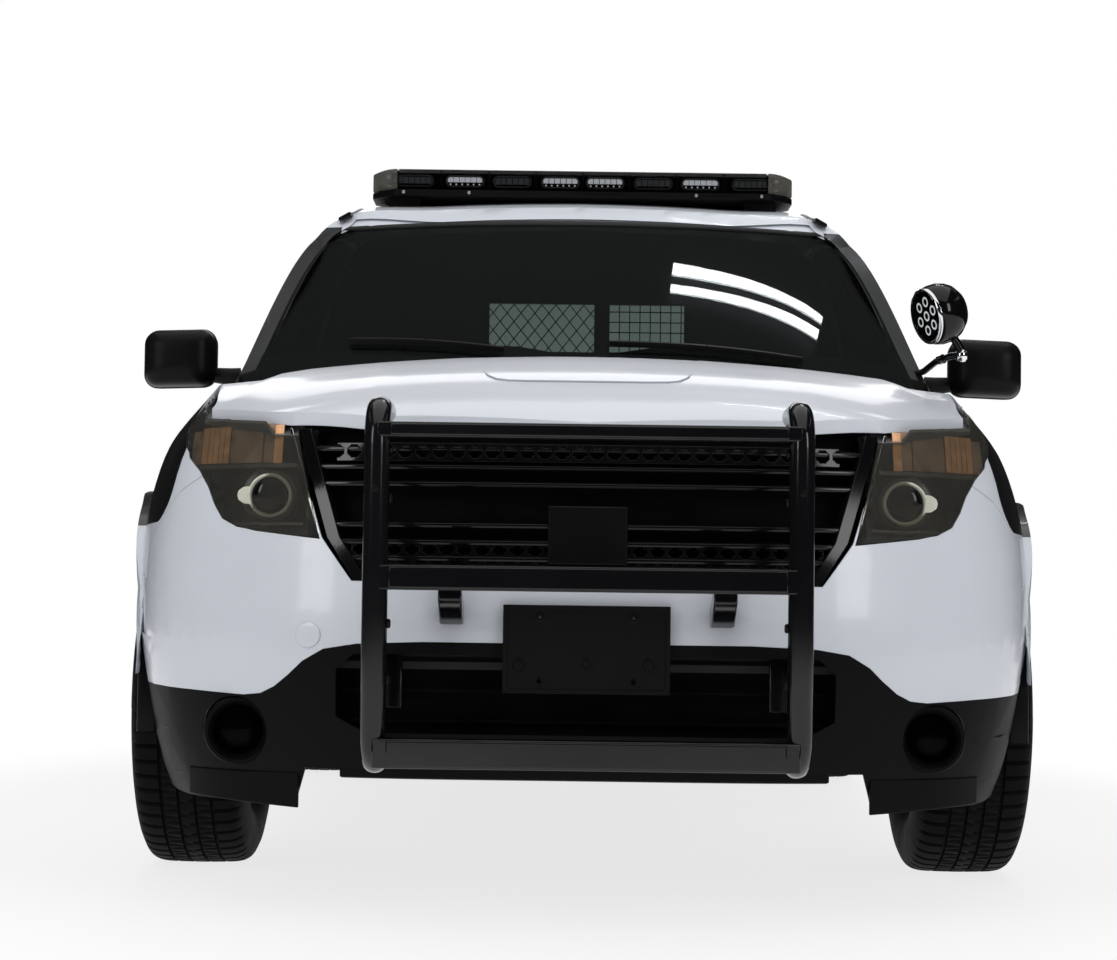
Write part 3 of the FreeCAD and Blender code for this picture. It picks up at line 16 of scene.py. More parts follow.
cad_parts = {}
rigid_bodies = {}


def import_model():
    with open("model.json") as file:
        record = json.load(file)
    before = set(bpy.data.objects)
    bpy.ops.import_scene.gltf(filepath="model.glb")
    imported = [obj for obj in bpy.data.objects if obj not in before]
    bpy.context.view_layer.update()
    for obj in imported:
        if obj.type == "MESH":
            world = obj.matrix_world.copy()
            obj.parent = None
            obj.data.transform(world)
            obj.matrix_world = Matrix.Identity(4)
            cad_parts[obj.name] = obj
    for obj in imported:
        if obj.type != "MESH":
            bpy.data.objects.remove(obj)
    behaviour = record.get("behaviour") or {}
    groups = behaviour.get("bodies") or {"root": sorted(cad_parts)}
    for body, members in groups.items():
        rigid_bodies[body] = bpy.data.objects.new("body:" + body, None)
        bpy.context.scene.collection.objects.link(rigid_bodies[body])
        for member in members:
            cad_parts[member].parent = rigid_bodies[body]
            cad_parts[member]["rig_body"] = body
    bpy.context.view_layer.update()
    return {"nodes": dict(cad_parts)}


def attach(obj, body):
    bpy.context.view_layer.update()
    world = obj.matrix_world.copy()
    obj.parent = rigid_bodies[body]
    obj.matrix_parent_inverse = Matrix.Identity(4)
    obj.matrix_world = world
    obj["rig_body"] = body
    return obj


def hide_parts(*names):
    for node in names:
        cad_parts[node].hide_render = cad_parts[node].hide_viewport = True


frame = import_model()
NODES = frame["nodes"]
SCENE = bpy.context.scene
MM = 0.001
AXLE_Y = -1455.0             # front axle in the frame
TYRE_R = 363.0
WHEELBASE = 2860.0
TRACK = 1702.0


def P(x, s, z):
    """A point from half-width, distance behind the front axle and height, in metres."""
    return Vector((x * MM, (s + AXLE_Y) * MM, z * MM))


# ---------------------------------------------------------------- camera
CAMERA = (-53.0, -5598.0, 620.0)     # x, s, z
FOCAL_SHARE, SENSOR = 2.186213, 36.0     # focal length over sensor width, and that width in mm
TILT, YAW, ROLL = 2.65, 0.05, 0.76   # degrees
camera_data = bpy.data.cameras.new("camera")
camera_data.sensor_width = SENSOR
camera_data.lens = SENSOR * FOCAL_SHARE
camera_data.clip_end = 200.0
camera = bpy.data.objects.new("camera", camera_data)
camera.matrix_world = (
    Matrix.Translation(P(*CAMERA))
    @ Matrix.Rotation(math.radians(YAW), 4, "Z")
    @ Matrix.Rotation(math.radians(90 + TILT), 4, "X")
    @ Matrix.Rotation(math.radians(ROLL), 4, "Z")
)
SCENE.collection.objects.link(camera)
SCENE.camera = camera
SCENE.view_settings.view_transform = "Standard"

# ---------------------------------------------------------------- form tables, the same as the frame's source
FRONT_BODY = [
    (-690, (790, 255), (838, 620), (825, 790), (800, 930), (735, 1032)),
    (-424, (882, 255), (932, 620), (916, 790), (864, 930), (790, 1032)),
    (0, (925, 255), (976, 620), (978, 822), (950, 940), (838, 1088)),
    (400, (925, 255), (982, 640), (980, 840), (956, 955), (864, 1122)),
    (566, (925, 255), (982, 640), (980, 850), (957, 960), (876, 1138)),
    (1200, (927, 255), (985, 640), (984, 860), (964, 968), (888, 1156)),
]
NOSE = [
    (205, (0, -880), (430, -865), (640, -790), (770, -680), (862, -424)),
    (255, (0, -905), (430, -890), (650, -812), (790, -690), (882, -424)),
    (345, (0, -940), (430, -925), (660, -840), (815, -700), (905, -424)),
    (520, (0, -968), (430, -952), (670, -862), (835, -705), (930, -424)),
    (640, (0, -958), (430, -940), (672, -850), (838, -700), (932, -424)),
    (790, (0, -936), (430, -918), (662, -832), (822, -685), (916, -424)),
    (930, (0, -905), (430, -886), (640, -795), (797, -650), (864, -424)),
    (1032, (0, -850), (430, -832), (620, -750), (748, -620), (790, -424)),
]
HOOD = [
    (-930, (0, 907), (430, 897), (820, 838)),
    (-865, (0, 972), (430, 960), (800, 908)),
    (-760, (0, 1022), (430, 1008), (790, 942)),
    (-640, (0, 1058), (430, 1044), (772, 984)),
    (-424, (0, 1098), (430, 1082), (790, 1032)),
    (0, (0, 1150), (430, 1132), (838, 1088)),
    (300, (0, 1180), (430, 1160), (857, 1114)),
    (600, (0, 1204), (430, 1182), (878, 1141)),
]
TAIL_BUMPER = [
    (250, (0, 3890), (480, 3870), (760, 3720), (890, 3292)),
    (330, (0, 3985), (520, 3962), (800, 3780), (925, 3292)),
    (520, (0, 4030), (560, 4002), (840, 3810), (958, 3292)),
    (640, (0, 4038), (570, 4008), (846, 3812), (968, 3292)),
    (700, (0, 4022), (570, 3992), (842, 3800), (966, 3292)),
]
CABIN = [
    (240, (925, 255), (972, 640), (970, 845), (945, 950), (862, 1108), (752, 1560), (672, 1640), 1668),
    (620, (925, 255), (983, 640), (981, 850), (959, 960), (880, 1143), (750, 1580), (672, 1655), 1684),
    (1200, (927, 255), (985, 640), (984, 860), (964, 968), (888, 1156), (748, 1602), (670, 1672), 1702),
    (1600, (927, 255), (985, 640), (985, 865), (966, 975), (890, 1165), (744, 1640), (664, 1722), 1758),
    (2100, (927, 255), (985, 640), (985, 870), (966, 985), (890, 1176), (738, 1650), (660, 1734), 1770),
    (2600, (927, 255), (984, 640), (982, 880), (962, 995), (884, 1190), (726, 1638), (650, 1722), 1758),
    (3150, (920, 270), (975, 640), (972, 885), (950, 1008), (868, 1206), (708, 1606), (632, 1688), 1724),
    (3600, (890, 310), (948, 640), (944, 885), (922, 1018), (838, 1220), (684, 1566), (606, 1642), 1682),
    (3860, (845, 340), (905, 640), (900, 885), (876, 1020), (796, 1228), (654, 1540), (580, 1612), 1652),
    (4030, (760, 360), (835, 640), (830, 885), (800, 1020), (738, 1230), (610, 1520), (540, 1592), 1630),
]
ROOF_QUARTER = 0.62
SCREEN_BASE = (300, 1172, 520, 1132, 872)
SCREEN_TOP = (1150, 1652, 1250, 1640, 700)
SCREEN_REACH, SCREEN_STEPS = 915.0, 4


# ---------------------------------------------------------------- smooth surfaces
def slopes(points, knots):
    """Slopes of a smooth line through points [n, ...] at knots [n, ...]."""
    gap = np.diff(knots, axis=0)
    rate = np.diff(points, axis=0) / gap
    inner = (rate[:-1] * gap[1:] + rate[1:] * gap[:-1]) / (gap[1:] + gap[:-1])
    return np.concatenate([rate[:1], inner, rate[-1:]])


def smooth_line(points, knots, sub):
    """The smooth line through points, with sub steps between neighbours."""
    m = slopes(points, knots)
    u = (np.arange(sub) / sub).reshape(-1, *([1] * (points.ndim - 1)))
    runs = []
    for i in range(len(points) - 1):
        h = knots[i + 1] - knots[i]
        a, b = points[i], points[i + 1]
        runs.append((2 * u**3 - 3 * u**2 + 1) * a + (u**3 - 2 * u**2 + u) * h * m[i]
                    + (3 * u**2 - 2 * u**3) * b + (u**3 - u**2) * h * m[i + 1])
    return np.concatenate(runs + [points[-1:]])


def straight_line(points, sub):
    u = (np.arange(sub) / sub).reshape(-1, *([1] * (points.ndim - 1)))
    runs = [points[i] * (1 - u) + points[i + 1] * u for i in range(len(points) - 1)]
    return np.concatenate(runs + [points[-1:]])


class Field:
    """The step from a table's flat facets to the smooth surface through the same points."""

    SUB = 24

    def __init__(self, keys, sections, middle_first=False, middle_last=False):
        self.keys = np.array(keys, float) * MM
        self.rows = np.array(sections, float) * MM
        mirror = np.array([-1.0, 1.0])
        smooth = []
        for row in self.rows:
            line = [row[1] * mirror] * middle_first + list(row) + [row[-2] * mirror] * middle_last
            line = np.array(line)
            steps = np.sqrt(np.linalg.norm(np.diff(line, axis=0), axis=1))
            knots = np.concatenate([[0], np.cumsum(steps)])[:, None]
            dense = smooth_line(line, knots, self.SUB)
            first = self.SUB if middle_first else 0
            smooth.append(dense[first:first + (len(row) - 1) * self.SUB + 1])
        smooth = np.array(smooth)
        flat = straight_line(straight_line(self.rows, self.SUB).swapaxes(0, 1), self.SUB).swapaxes(0, 1)
        self.smooth = smooth_line(smooth, self.keys[:, None, None], self.SUB)
        self.step = self.smooth - flat

    def place(self, key, point):
        """Row and column of the nearest flat-facet point, its own position, and its distance."""
        k = np.clip(key, self.keys[0], self.keys[-1])
        i = np.clip(np.searchsorted(self.keys, k, side="right") - 1, 0, len(self.keys) - 2)
        f = (k - self.keys[i]) / (self.keys[i + 1] - self.keys[i])
        line = self.rows[i] * (1 - f)[:, None, None] + self.rows[i + 1] * f[:, None, None]
        a, b = line[:, :-1], line[:, 1:]
        run = b - a
        u = np.clip(((point[:, None] - a) * run).sum(2) / (run**2).sum(2), 0, 1)
        near = a + run * u[..., None]
        away = np.linalg.norm(point[:, None] - near, axis=2)
        j = away.argmin(1)
        n = np.arange(len(j))
        return i + f, j + u[n, j], near[n, j], away[n, j]

    def sample(self, grid, row, column):
        r, c = row * self.SUB, column * self.SUB
        r0 = np.clip(r.astype(int), 0, grid.shape[0] - 2)
        c0 = np.clip(c.astype(int), 0, grid.shape[1] - 2)
        fr, fc = (r - r0)[:, None], (c - c0)[:, None]
        return (grid[r0, c0] * (1 - fr) * (1 - fc) + grid[r0 + 1, c0] * fr * (1 - fc)
                + grid[r0, c0 + 1] * (1 - fr) * fc + grid[r0 + 1, c0 + 1] * fr * fc)

    def move(self, key, point, touch=0.0015, deep=0.09, fade=0.08):
        """Points on the flat facets land on the smooth surface; those behind it follow and fade out."""
        row, column, near, away = self.place(key, point)
        step = self.sample(self.step, row, column)
        share = np.clip(1 - (away - deep) / fade, 0, 1)[:, None]
        return np.where((away < touch)[:, None], near + step, point + step * share)


def cabin_line(row):
    points, top = list(row[1:-1]), row[-1]
    edge_x, edge_z = points[-1]
    points.append((edge_x * ROOF_QUARTER, top - (top - edge_z) * ROOF_QUARTER**2))
    return points + [(0, top)]


CABIN_FIELD = Field([r[0] for r in CABIN], [cabin_line(r) for r in CABIN], middle_last=True)
FRONT_FIELD = Field([r[0] for r in FRONT_BODY], [r[1:] for r in FRONT_BODY])


def nose_line(row):
    """One nose level, carried on past the wheel opening so that it runs smoothly into the fender."""
    z = row[0]
    sides = FRONT_BODY[2][1:]
    x = float(np.interp(z, [p[1] for p in sides], [p[0] for p in sides]))
    return list(row[1:]) + [(x, 0)]


NOSE_FIELD = Field([r[0] for r in NOSE], [nose_line(r) for r in NOSE], middle_first=True)
HOOD_FIELD = Field([r[0] for r in HOOD], [r[1:] for r in HOOD], middle_first=True)
TAIL_FIELD = Field([r[0] for r in TAIL_BUMPER], [r[1:] for r in TAIL_BUMPER], middle_first=True)
NOSE_END, CABIN_FROM = -424 * MM, 566 * MM


def body_warp(x, s, z):
    """Side, roof and nose of the painted body."""
    side = CABIN_FIELD.move(s, np.stack([x, z], 1))
    front = FRONT_FIELD.move(s, np.stack([x, z], 1))
    nose = NOSE_FIELD.move(z, np.stack([x, s], 1))
    out = np.stack([x, s, z], 1)
    back, ahead = s >= CABIN_FROM, s <= NOSE_END
    out[:, 0] = np.where(back, side[:, 0], np.where(ahead, nose[:, 0], front[:, 0]))
    out[:, 2] = np.where(back, side[:, 1], np.where(ahead, z, front[:, 1]))
    out[:, 1] = np.where(ahead, nose[:, 1], s)
    return out


def ease(t):
    t = np.clip(t, 0, 1)
    return t * t * (3 - 2 * t)


def roof_crown(s, z):
    """How far the roof rises above its table, behind the windscreen, in metres."""
    return 0.022 * ease((s - 1.26) / 0.45) * ease((3.4 - s) / 0.9) * ease((z - 1.655) / 0.06)


def cabin_warp(x, s, z):
    side = CABIN_FIELD.move(s, np.stack([x, z], 1))
    return np.stack([side[:, 0], s, side[:, 1] + roof_crown(s, side[:, 1])], 1)


RIDGE_RISE, FIELD_DROP = 0.015, 0.010     # the hood's side ridges and its sunk field, in metres


def hood_warp(x, s, z):
    """The hood's crown, with its side ridges and the stepped field in front of the windscreen."""
    top = HOOD_FIELD.move(s, np.stack([x, z], 1), deep=0.2)
    ridge = RIDGE_RISE * ease((s + 0.80) / 0.75) * ease((0.735 - x - 0.02 * s) / 0.075)
    half = 0.232 + 0.20 * (s + 0.06)
    inset = np.minimum((half - x) / 0.022, (s + 0.115 - 0.35 * np.maximum(x - 0.15, 0)) / 0.03)
    step = -FIELD_DROP * ease(inset)
    return np.stack([top[:, 0], s, top[:, 1] + ridge + step], 1)


def tail_bumper_warp(x, s, z):
    rear = TAIL_FIELD.move(z, np.stack([x, s], 1))
    return np.stack([rear[:, 0], rear[:, 1], z], 1)


def screen_at(x, share):
    """A point of the windscreen's true surface at half-width x (mm) and share of its height."""
    ends = []
    for s0, z0, s1, z1, width in (SCREEN_BASE, SCREEN_TOP):
        f = (x / width) ** 2
        ends.append(np.stack([s0 + (s1 - s0) * f, z0 + (z1 - z0) * f], -1))
    return (ends[0] + (ends[1] - ends[0]) * share[..., None]) * MM


def screen_share(wide, s, z):
    share = np.full_like(wide, 0.5)
    for _ in range(3):
        point = screen_at(wide, share)
        run = screen_at(wide, np.ones_like(wide)) - screen_at(wide, np.zeros_like(wide))
        share = share + ((np.stack([s, z], 1) - point) * run).sum(1) / (run**2).sum(1)
    return share


PANE_LEAN = 0.7              # faces that lean less from the true surface belong to the pane, not its rim


def smooth_screen(piece):
    """Gives the windscreen's faces the true surface's normals, so that reflections run straight."""
    mesh = piece.data
    at = np.array([v.co for v in mesh.vertices])
    wide = np.maximum(np.abs(at[:, 0]) / MM, 1.0)
    share = screen_share(wide, at[:, 1] - AXLE_Y * MM, at[:, 2])
    over = (screen_at(wide + 1, share) - screen_at(wide - 1, share)) / (2 * MM)
    rise = screen_at(wide, share + 0.01) - screen_at(wide, share - 0.01)
    over = np.column_stack([np.ones(len(at)), over]) * np.where(at[:, :1] < 0, [[1, -1, -1]], [[1, 1, 1]])
    true = np.cross(over, np.column_stack([np.zeros(len(at)), rise]))
    true /= np.linalg.norm(true, axis=1)[:, None]
    normals = []
    for face in mesh.polygons:
        for corner in face.vertices:
            lean = Vector(true[corner]).dot(face.normal)
            normals.append(Vector(true[corner]) * math.copysign(1, lean) if abs(lean) > PANE_LEAN else face.normal)
    mesh.normals_split_custom_set(normals)


def screen_warp(x, s, z):
    wide = x / MM
    gap = SCREEN_REACH / SCREEN_STEPS
    low = np.floor(wide / gap) * gap
    t = (wide - low) / gap
    share = screen_share(wide, s, z)
    flat = screen_at(low, share) * (1 - t)[:, None] + screen_at(low + gap, share) * t[:, None]
    step = screen_at(wide, share) - flat
    return np.stack([x, s + step[:, 0], z + step[:, 1]], 1)


# ---------------------------------------------------------------- skins from the frame's own nodes
WELD_GRID = 50000            # corners in one cell of this grid, counted to the metre, are one
ON_CUT, CUT_SHIFT = 2e-4, 0.37       # corners this close to a cut lie on it; where the first cut falls


def welded(mesh):
    """A mesh's corners and triangles as arrays, with doubled corners merged."""
    mesh.calc_loop_triangles()
    co = np.zeros(len(mesh.vertices) * 3)
    mesh.vertices.foreach_get("co", co)
    tris = np.zeros(len(mesh.loop_triangles) * 3, int)
    mesh.loop_triangles.foreach_get("vertices", tris)
    keys = np.round(co.reshape(-1, 3) * WELD_GRID).astype(np.int64)
    _, first, back = np.unique(keys, axis=0, return_index=True, return_inverse=True)
    tris = back.ravel()[tris].reshape(-1, 3)
    good = (tris[:, 0] != tris[:, 1]) & (tris[:, 1] != tris[:, 2]) & (tris[:, 0] != tris[:, 2])
    return co.reshape(-1, 3)[first], tris[good]


def sliced(points, tris, axis, step):
    """The triangles cut along evenly spaced planes, so that the surface can bend."""
    low, high = points[:, axis].min(), points[:, axis].max()
    for cut in np.arange(math.ceil(low / step) * step + step * CUT_SHIFT, high, step):
        d = points[:, axis] - cut
        d[np.abs(d) < ON_CUT] = 0
        sign = np.sign(d)[tris]
        across = (sign.min(1) < 0) & (sign.max(1) > 0)
        if not across.any():
            continue
        hit, sg = tris[across], sign[across]
        on = (sg == 0).any(1)
        alone = np.where(on, np.abs(sg).argmin(1), (sg * sg.sum(1)[:, None]).argmin(1))
        n = np.arange(len(hit))
        a, b, c = (hit[n, (alone + k) % 3] for k in range(3))
        pairs = np.concatenate([np.stack([a, b], 1)[~on], np.stack([a, c], 1)[~on], np.stack([b, c], 1)[on]])
        pairs = np.sort(pairs, axis=1)
        edges, back = np.unique(pairs, axis=0, return_inverse=True)
        back = back.ravel() + len(points)
        e0, e1 = edges[:, 0], edges[:, 1]
        t = (d[e0] / (d[e0] - d[e1]))[:, None]
        points = np.concatenate([points, points[e0] * (1 - t) + points[e1] * t])
        k = (~on).sum()
        ab, ac, bc = back[:k], back[k:2 * k], back[2 * k:]
        a1, b1, c1 = a[~on], b[~on], c[~on]
        a2, b2, c2 = a[on], b[on], c[on]
        made = [(a1, ab, ac), (ab, b1, c1), (ab, c1, ac), (a2, b2, bc), (a2, bc, c2)]
        tris = np.concatenate([tris[~across]] + [np.stack(m, 1) for m in made])
    return points, tris


def placed(name, mesh, material, body, sharp):
    """A piece from its mesh, smooth but for edges sharper than sharp degrees."""
    mesh.materials.append(material)
    mesh.polygons.foreach_set("use_smooth", [True] * len(mesh.polygons))
    mesh.set_sharp_from_angle(angle=math.radians(sharp))
    piece = bpy.data.objects.new(name, mesh)
    SCENE.collection.objects.link(piece)
    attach(piece, body)
    return piece


def mesh_object(name, points, faces, material, body):
    mesh = bpy.data.meshes.new(name)
    mesh.from_pydata([tuple(p) for p in points], [], [tuple(int(i) for i in f) for f in faces])
    mesh.validate()
    return placed(name, mesh, material, body, SKIN_SHARP)


SKIN_SHARP = 32.0


def skin(node, warp, cuts, material):
    """A node's own solid with its flat facets made smooth."""
    points, tris = welded(NODES[node].data)
    rough = 1.0
    for axis, step in cuts:
        points, tris = sliced(points, tris, axis, step * rough)
    x, s, z = points[:, 0], points[:, 1] - AXLE_Y * MM, points[:, 2]
    moved = warp(np.abs(x), s, z)
    moved[:, 0] = np.where(x < 0, -moved[:, 0], moved[:, 0])
    moved[np.abs(x) < 1e-5, 0] = 0
    moved[:, 1] += AXLE_Y * MM
    piece = mesh_object("skin_" + node, moved, tris, material, NODES[node]["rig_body"])
    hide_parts(node)
    return piece


# ---------------------------------------------------------------- finishes
class Graph:
    """A node tree filled by short calls: an input takes a value or another node's output."""

    def __init__(self, tree):
        self.tree = tree

    def put(self, node, inputs):
        for key, value in inputs.items():
            if isinstance(value, bpy.types.NodeSocket):
                self.tree.links.new(value, node.inputs[key])
            else:
                node.inputs[key].default_value = value

    def add(self, kind, inputs, out=0, **settings):
        """A new node's output, or all its outputs where out is None."""
        node = self.tree.nodes.new("ShaderNode" + kind)
        for key, value in settings.items():
            setattr(node, key, value)
        self.put(node, inputs)
        return node.outputs if out is None else node.outputs[out]

    def math(self, kind, *values):
        return self.add("Math", dict(enumerate(values)), operation=kind)

    def every(self, *conditions):
        """One where all the conditions hold, else nought."""
        return functools.reduce(lambda a, b: self.math("MULTIPLY", a, b), conditions)

    def under(self, a, b):
        return self.math("LESS_THAN", a, b)

    def mix(self, share, a, b):
        return self.add("MixShader", {"Fac": share, 1: a, 2: b})

    def surface(self, shader, output="Material Output"):
        self.put(self.tree.nodes[output], {"Surface": shader})

    def seen_rays(self):
        """One for rays from the camera, straight or by reflection or through glass."""
        rays = self.add("LightPath", {}, None)
        kinds = (rays[f"Is {kind} Ray"] for kind in ("Camera", "Glossy", "Transmission"))
        return functools.reduce(lambda a, b: self.math("MAXIMUM", a, b), kinds)


def blank(name):
    """A new material with its graph and its principled node."""
    m = bpy.data.materials.new(name)
    m.use_nodes = True
    return m, Graph(m.node_tree), m.node_tree.nodes["Principled BSDF"]


IOR, COAT_ROUGH = 1.45, 0.09


def finish(name, colour, rough=0.5, metal=0.0, coat=0.0, grain=0.0, grain_size=0.0015, vary=0.06, cloud=0.25,
           rough_vary=0.08, specular=0.5, glow=0.0, edge=0.0):
    """A principled finish with clouded colour and roughness, a fine grain and softened edges."""
    m, g, b = blank(name)
    where = g.add("TexCoord", {}, "Object")
    clouds = g.add("TexNoise", {"Vector": where, "Scale": 1 / cloud, "Detail": 5}, "Fac")
    shade = g.add("MapRange", {"Value": clouds, "From Min": 0.3, "From Max": 0.7, "To Min": 1 - vary,
                               "To Max": 1 + vary * 0.4}, "Result")
    dull = g.add("MapRange", {"Value": clouds, "From Min": 0.25, "From Max": 0.75,
                              "To Min": max(0.0, rough - rough_vary), "To Max": min(1.0, rough + rough_vary)}, "Result")
    g.put(b, {"Base Color": g.add("VectorMath", {0: colour, "Scale": shade}, "Vector", operation="SCALE"),
              "Roughness": dull, "Metallic": metal, "IOR": IOR, "Specular IOR Level": specular,
              "Coat Weight": coat, "Coat Roughness": COAT_ROUGH})
    normal = {}
    if edge:
        normal = {"Normal": g.add("Bevel", {"Radius": edge}, "Normal", samples=4)}
    if grain:
        fine = g.add("TexNoise", {"Vector": where, "Scale": 1 / grain_size, "Detail": 3}, "Fac")
        bump = {"Strength": grain, "Distance": grain_size * 0.4, "Height": fine}
        normal = {"Normal": g.add("Bump", bump | normal, "Normal")}
    g.put(b, normal)
    if glow:
        g.put(b, {"Emission Color": (*colour, 1), "Emission Strength": glow})
    return m


BAND_LOW, BAND_HIGH, BAND_FRONT, BAND_REAR = 0.755, 1.16, -2.095, 2.16
BAND_CORNER, BAND_WIDE = 0.07, 0.70          # radius of its front lower corner, and where the sides begin
SHOULDER, SHOULDER_RISE = 0.935, 0.22        # the band's top line at its front end, and its slope
UPPER = (1.150, 1.640, 1.20, 0.60)           # pillars: from and to in height, rear end, where the sides begin


def band(m, colour):
    """Paints the livery's dark band and the dark pillars on a side finish."""
    g, b = Graph(m.node_tree), m.node_tree.nodes["Principled BSDF"]
    x, y, z = g.add("SeparateXYZ", {0: g.add("TexCoord", {}, "Object")}, None)
    wide = g.math("ABSOLUTE", x)
    dy, dz = (g.math("MAXIMUM", g.math("SUBTRACT", edge + BAND_CORNER, at), 0.0)
              for edge, at in ((BAND_FRONT, y), (BAND_LOW, z)))
    away = g.math("SQRT", g.math("ADD", g.math("MULTIPLY", dy, dy), g.math("MULTIPLY", dz, dz)))
    rise = g.math("MULTIPLY", g.math("SUBTRACT", y, BAND_FRONT), SHOULDER_RISE)
    lower = g.every(g.under(away, BAND_CORNER), g.under(z, BAND_HIGH), g.under(g.math("SUBTRACT", z, rise), SHOULDER),
                    g.under(BAND_WIDE, wide), g.under(y, BAND_REAR))
    low, high, rear, side = UPPER
    upper = g.every(g.under(low, z), g.under(z, high), g.under(side, wide), g.under(y, rear))
    both = {"Factor": g.math("MAXIMUM", lower, upper), "A": b.inputs["Base Color"].links[0].from_socket,
            "B": (*colour, 1)}
    g.put(b, {"Base Color": g.add("Mix", both, "Result", data_type="RGBA")})


WHITE = (0.66, 0.69, 0.75)
PAINT = {"rough": 0.34, "coat": 0.4, "grain": 0.015, "grain_size": 0.004, "vary": 0.02, "cloud": 0.6,
         "rough_vary": 0.05, "edge": 0.003}
paint, side_paint = finish("paint_white", WHITE, **PAINT), finish("paint_side", WHITE, **PAINT)
band(side_paint, (0.006, 0.006, 0.007))
# near-black for the intake louvres, and for the sheets behind the grille and intake that are painted shade for the dark
# cavity behind them
black_and_painted_shade = finish("black_and_painted_shade", (0.003, 0.003, 0.003), rough=0.8, specular=0.1, grain=0.1)
gloss_black = finish("gloss_black", (0.0035, 0.0035, 0.004), rough=0.10, specular=0.4, vary=0.2, rough_vary=0.06,
                     grain=0.02, grain_size=0.006, edge=0.0015)
push_black = finish("push_black", (0.005, 0.005, 0.006), rough=0.12, vary=0.2, rough_vary=0.07, grain=0.05,
                    grain_size=0.0025, edge=0.001)
satin_black = finish("satin_black", (0.0045, 0.0045, 0.005), rough=0.38, specular=0.16, vary=0.15, grain=0.12,
                     grain_size=0.0012, edge=0.0015)
textured_black = finish("textured_black", (0.0042, 0.0042, 0.0048), specular=0.09, vary=0.14, grain=0.3,
                        grain_size=0.0009, cloud=0.4, edge=0.003)
dark_plastic = finish("dark_plastic", (0.006, 0.006, 0.0064), rough=0.6, specular=0.15, vary=0.15, grain=0.25,
                      grain_size=0.0012)
rubber = finish("tyre_rubber", (0.0042, 0.0042, 0.0046), rough=0.66, specular=0.09, vary=0.3, grain=0.35,
                grain_size=0.0007, cloud=0.08)
seal_rubber = finish("seal_rubber", (0.010, 0.010, 0.010), rough=0.55, vary=0.2, grain=0.1)
rim_black = finish("rim_black", (0.02, 0.02, 0.022), rough=0.35, coat=0.3, vary=0.1, edge=0.002)
hub_chrome = finish("hub_chrome", (0.75, 0.76, 0.78), rough=0.16, metal=1.0, vary=0.1)
steel = finish("steel_bare", (0.45, 0.45, 0.46), rough=0.35, metal=1.0, vary=0.25, cloud=0.05)
cast_iron = finish("cast_iron", (0.09, 0.085, 0.08), rough=0.7, metal=0.4, vary=0.35, grain=0.4, cloud=0.05)
frame_metal = finish("frame_black", (0.03, 0.03, 0.032), rough=0.6, vary=0.3, grain=0.2, cloud=0.15)
seat_cloth = finish("seat_cloth", (0.045, 0.045, 0.048), rough=0.9, vary=0.2, grain=0.6)
dash_plastic = finish("dash_plastic", (0.028, 0.028, 0.03), rough=0.65, vary=0.1, grain=0.35, grain_size=0.001)
chrome = finish("chrome", (0.86, 0.87, 0.88), rough=0.06, metal=1.0, vary=0.03, rough_vary=0.03)
amber = finish("amber", (0.90, 0.50, 0.26), rough=0.25, coat=0.5, vary=0.25, cloud=0.03)
# darker paint for the painted shade along the hood's crease line
painted_crease_shade = finish("painted_crease_shade", (0.30, 0.32, 0.36), rough=0.4, vary=0.05, cloud=0.2)
lamp_grey = finish("lamp_grey", (0.13, 0.13, 0.125), rough=0.35, vary=0.25, cloud=0.06)
# painted light: the partition panes glow to stand in for daylight coming through the rear windows behind them
pane_painted_backlight = finish("pane_painted_backlight", (0.40, 0.50, 0.46), rough=0.4, vary=0.15, cloud=0.2, glow=1.0)
lamp_brown = finish("lamp_brown", (0.42, 0.29, 0.21), rough=0.3, vary=0.35, cloud=0.05)
lamp_cream = finish("lamp_cream", (0.62, 0.62, 0.52), rough=0.4, vary=0.1, cloud=0.02)
lamp_red = finish("lamp_red", (0.42, 0.008, 0.008), rough=0.08, coat=1.0, vary=0.15, cloud=0.04)
led_white = finish("led_white", (0.9, 0.92, 0.95), rough=0.3, glow=0.55)
led_dull = finish("led_dull", (0.22, 0.22, 0.23), rough=0.35, vary=0.2, cloud=0.01)


def glass(name, tint, rough=0.0, through=1.0, haze=(), haze_share=0.0, most=0.9):
    """Clear or smoked glass: part mirror, the rest seen through a tint and a share of haze."""
    m, g, b = blank(name)
    g.put(b, {"Base Color": (0.004, 0.004, 0.004, 1), "Roughness": rough, "IOR": IOR})
    seen = g.add("BsdfTransparent", {"Color": (*tint, 1)})
    if haze:
        seen = g.mix(haze_share, seen, g.add("BsdfDiffuse", {"Color": (*haze, 1)}))
    noise = g.add("TexNoise", {"Vector": g.add("TexCoord", {}, "Object"), "Scale": 3.0}, "Fac")
    mirror = g.add("MapRange", {"Value": g.add("LayerWeight", {"Blend": 0.28}, "Fresnel"),
                                "To Min": 0.05 + (1 - through), "To Max": most}, "Result")
    g.surface(g.mix(g.math("MULTIPLY_ADD", noise, 0.03, mirror), seen, b.outputs[0]))
    return m


screen_glass = glass("screen_glass", (0.84, 0.87, 0.86), through=0.93, most=0.7)
dark_glass = glass("dark_glass", (0.10, 0.105, 0.11))
gate_glass = glass("gate_glass", (0.34, 0.37, 0.36))
lens_clear = glass("lens_clear", (0.80, 0.81, 0.80), rough=0.03)
lens_haze = glass("lens_haze", (0.55, 0.55, 0.52), rough=0.12, haze=(0.30, 0.29, 0.26), haze_share=0.22)
lens_lamp = glass("lens_lamp", (0.78, 0.77, 0.73), rough=0.03, haze=(0.37, 0.36, 0.33), haze_share=0.055, most=0.3)
lens_smoke = glass("lens_smoke", (0.45, 0.46, 0.47), rough=0.04)


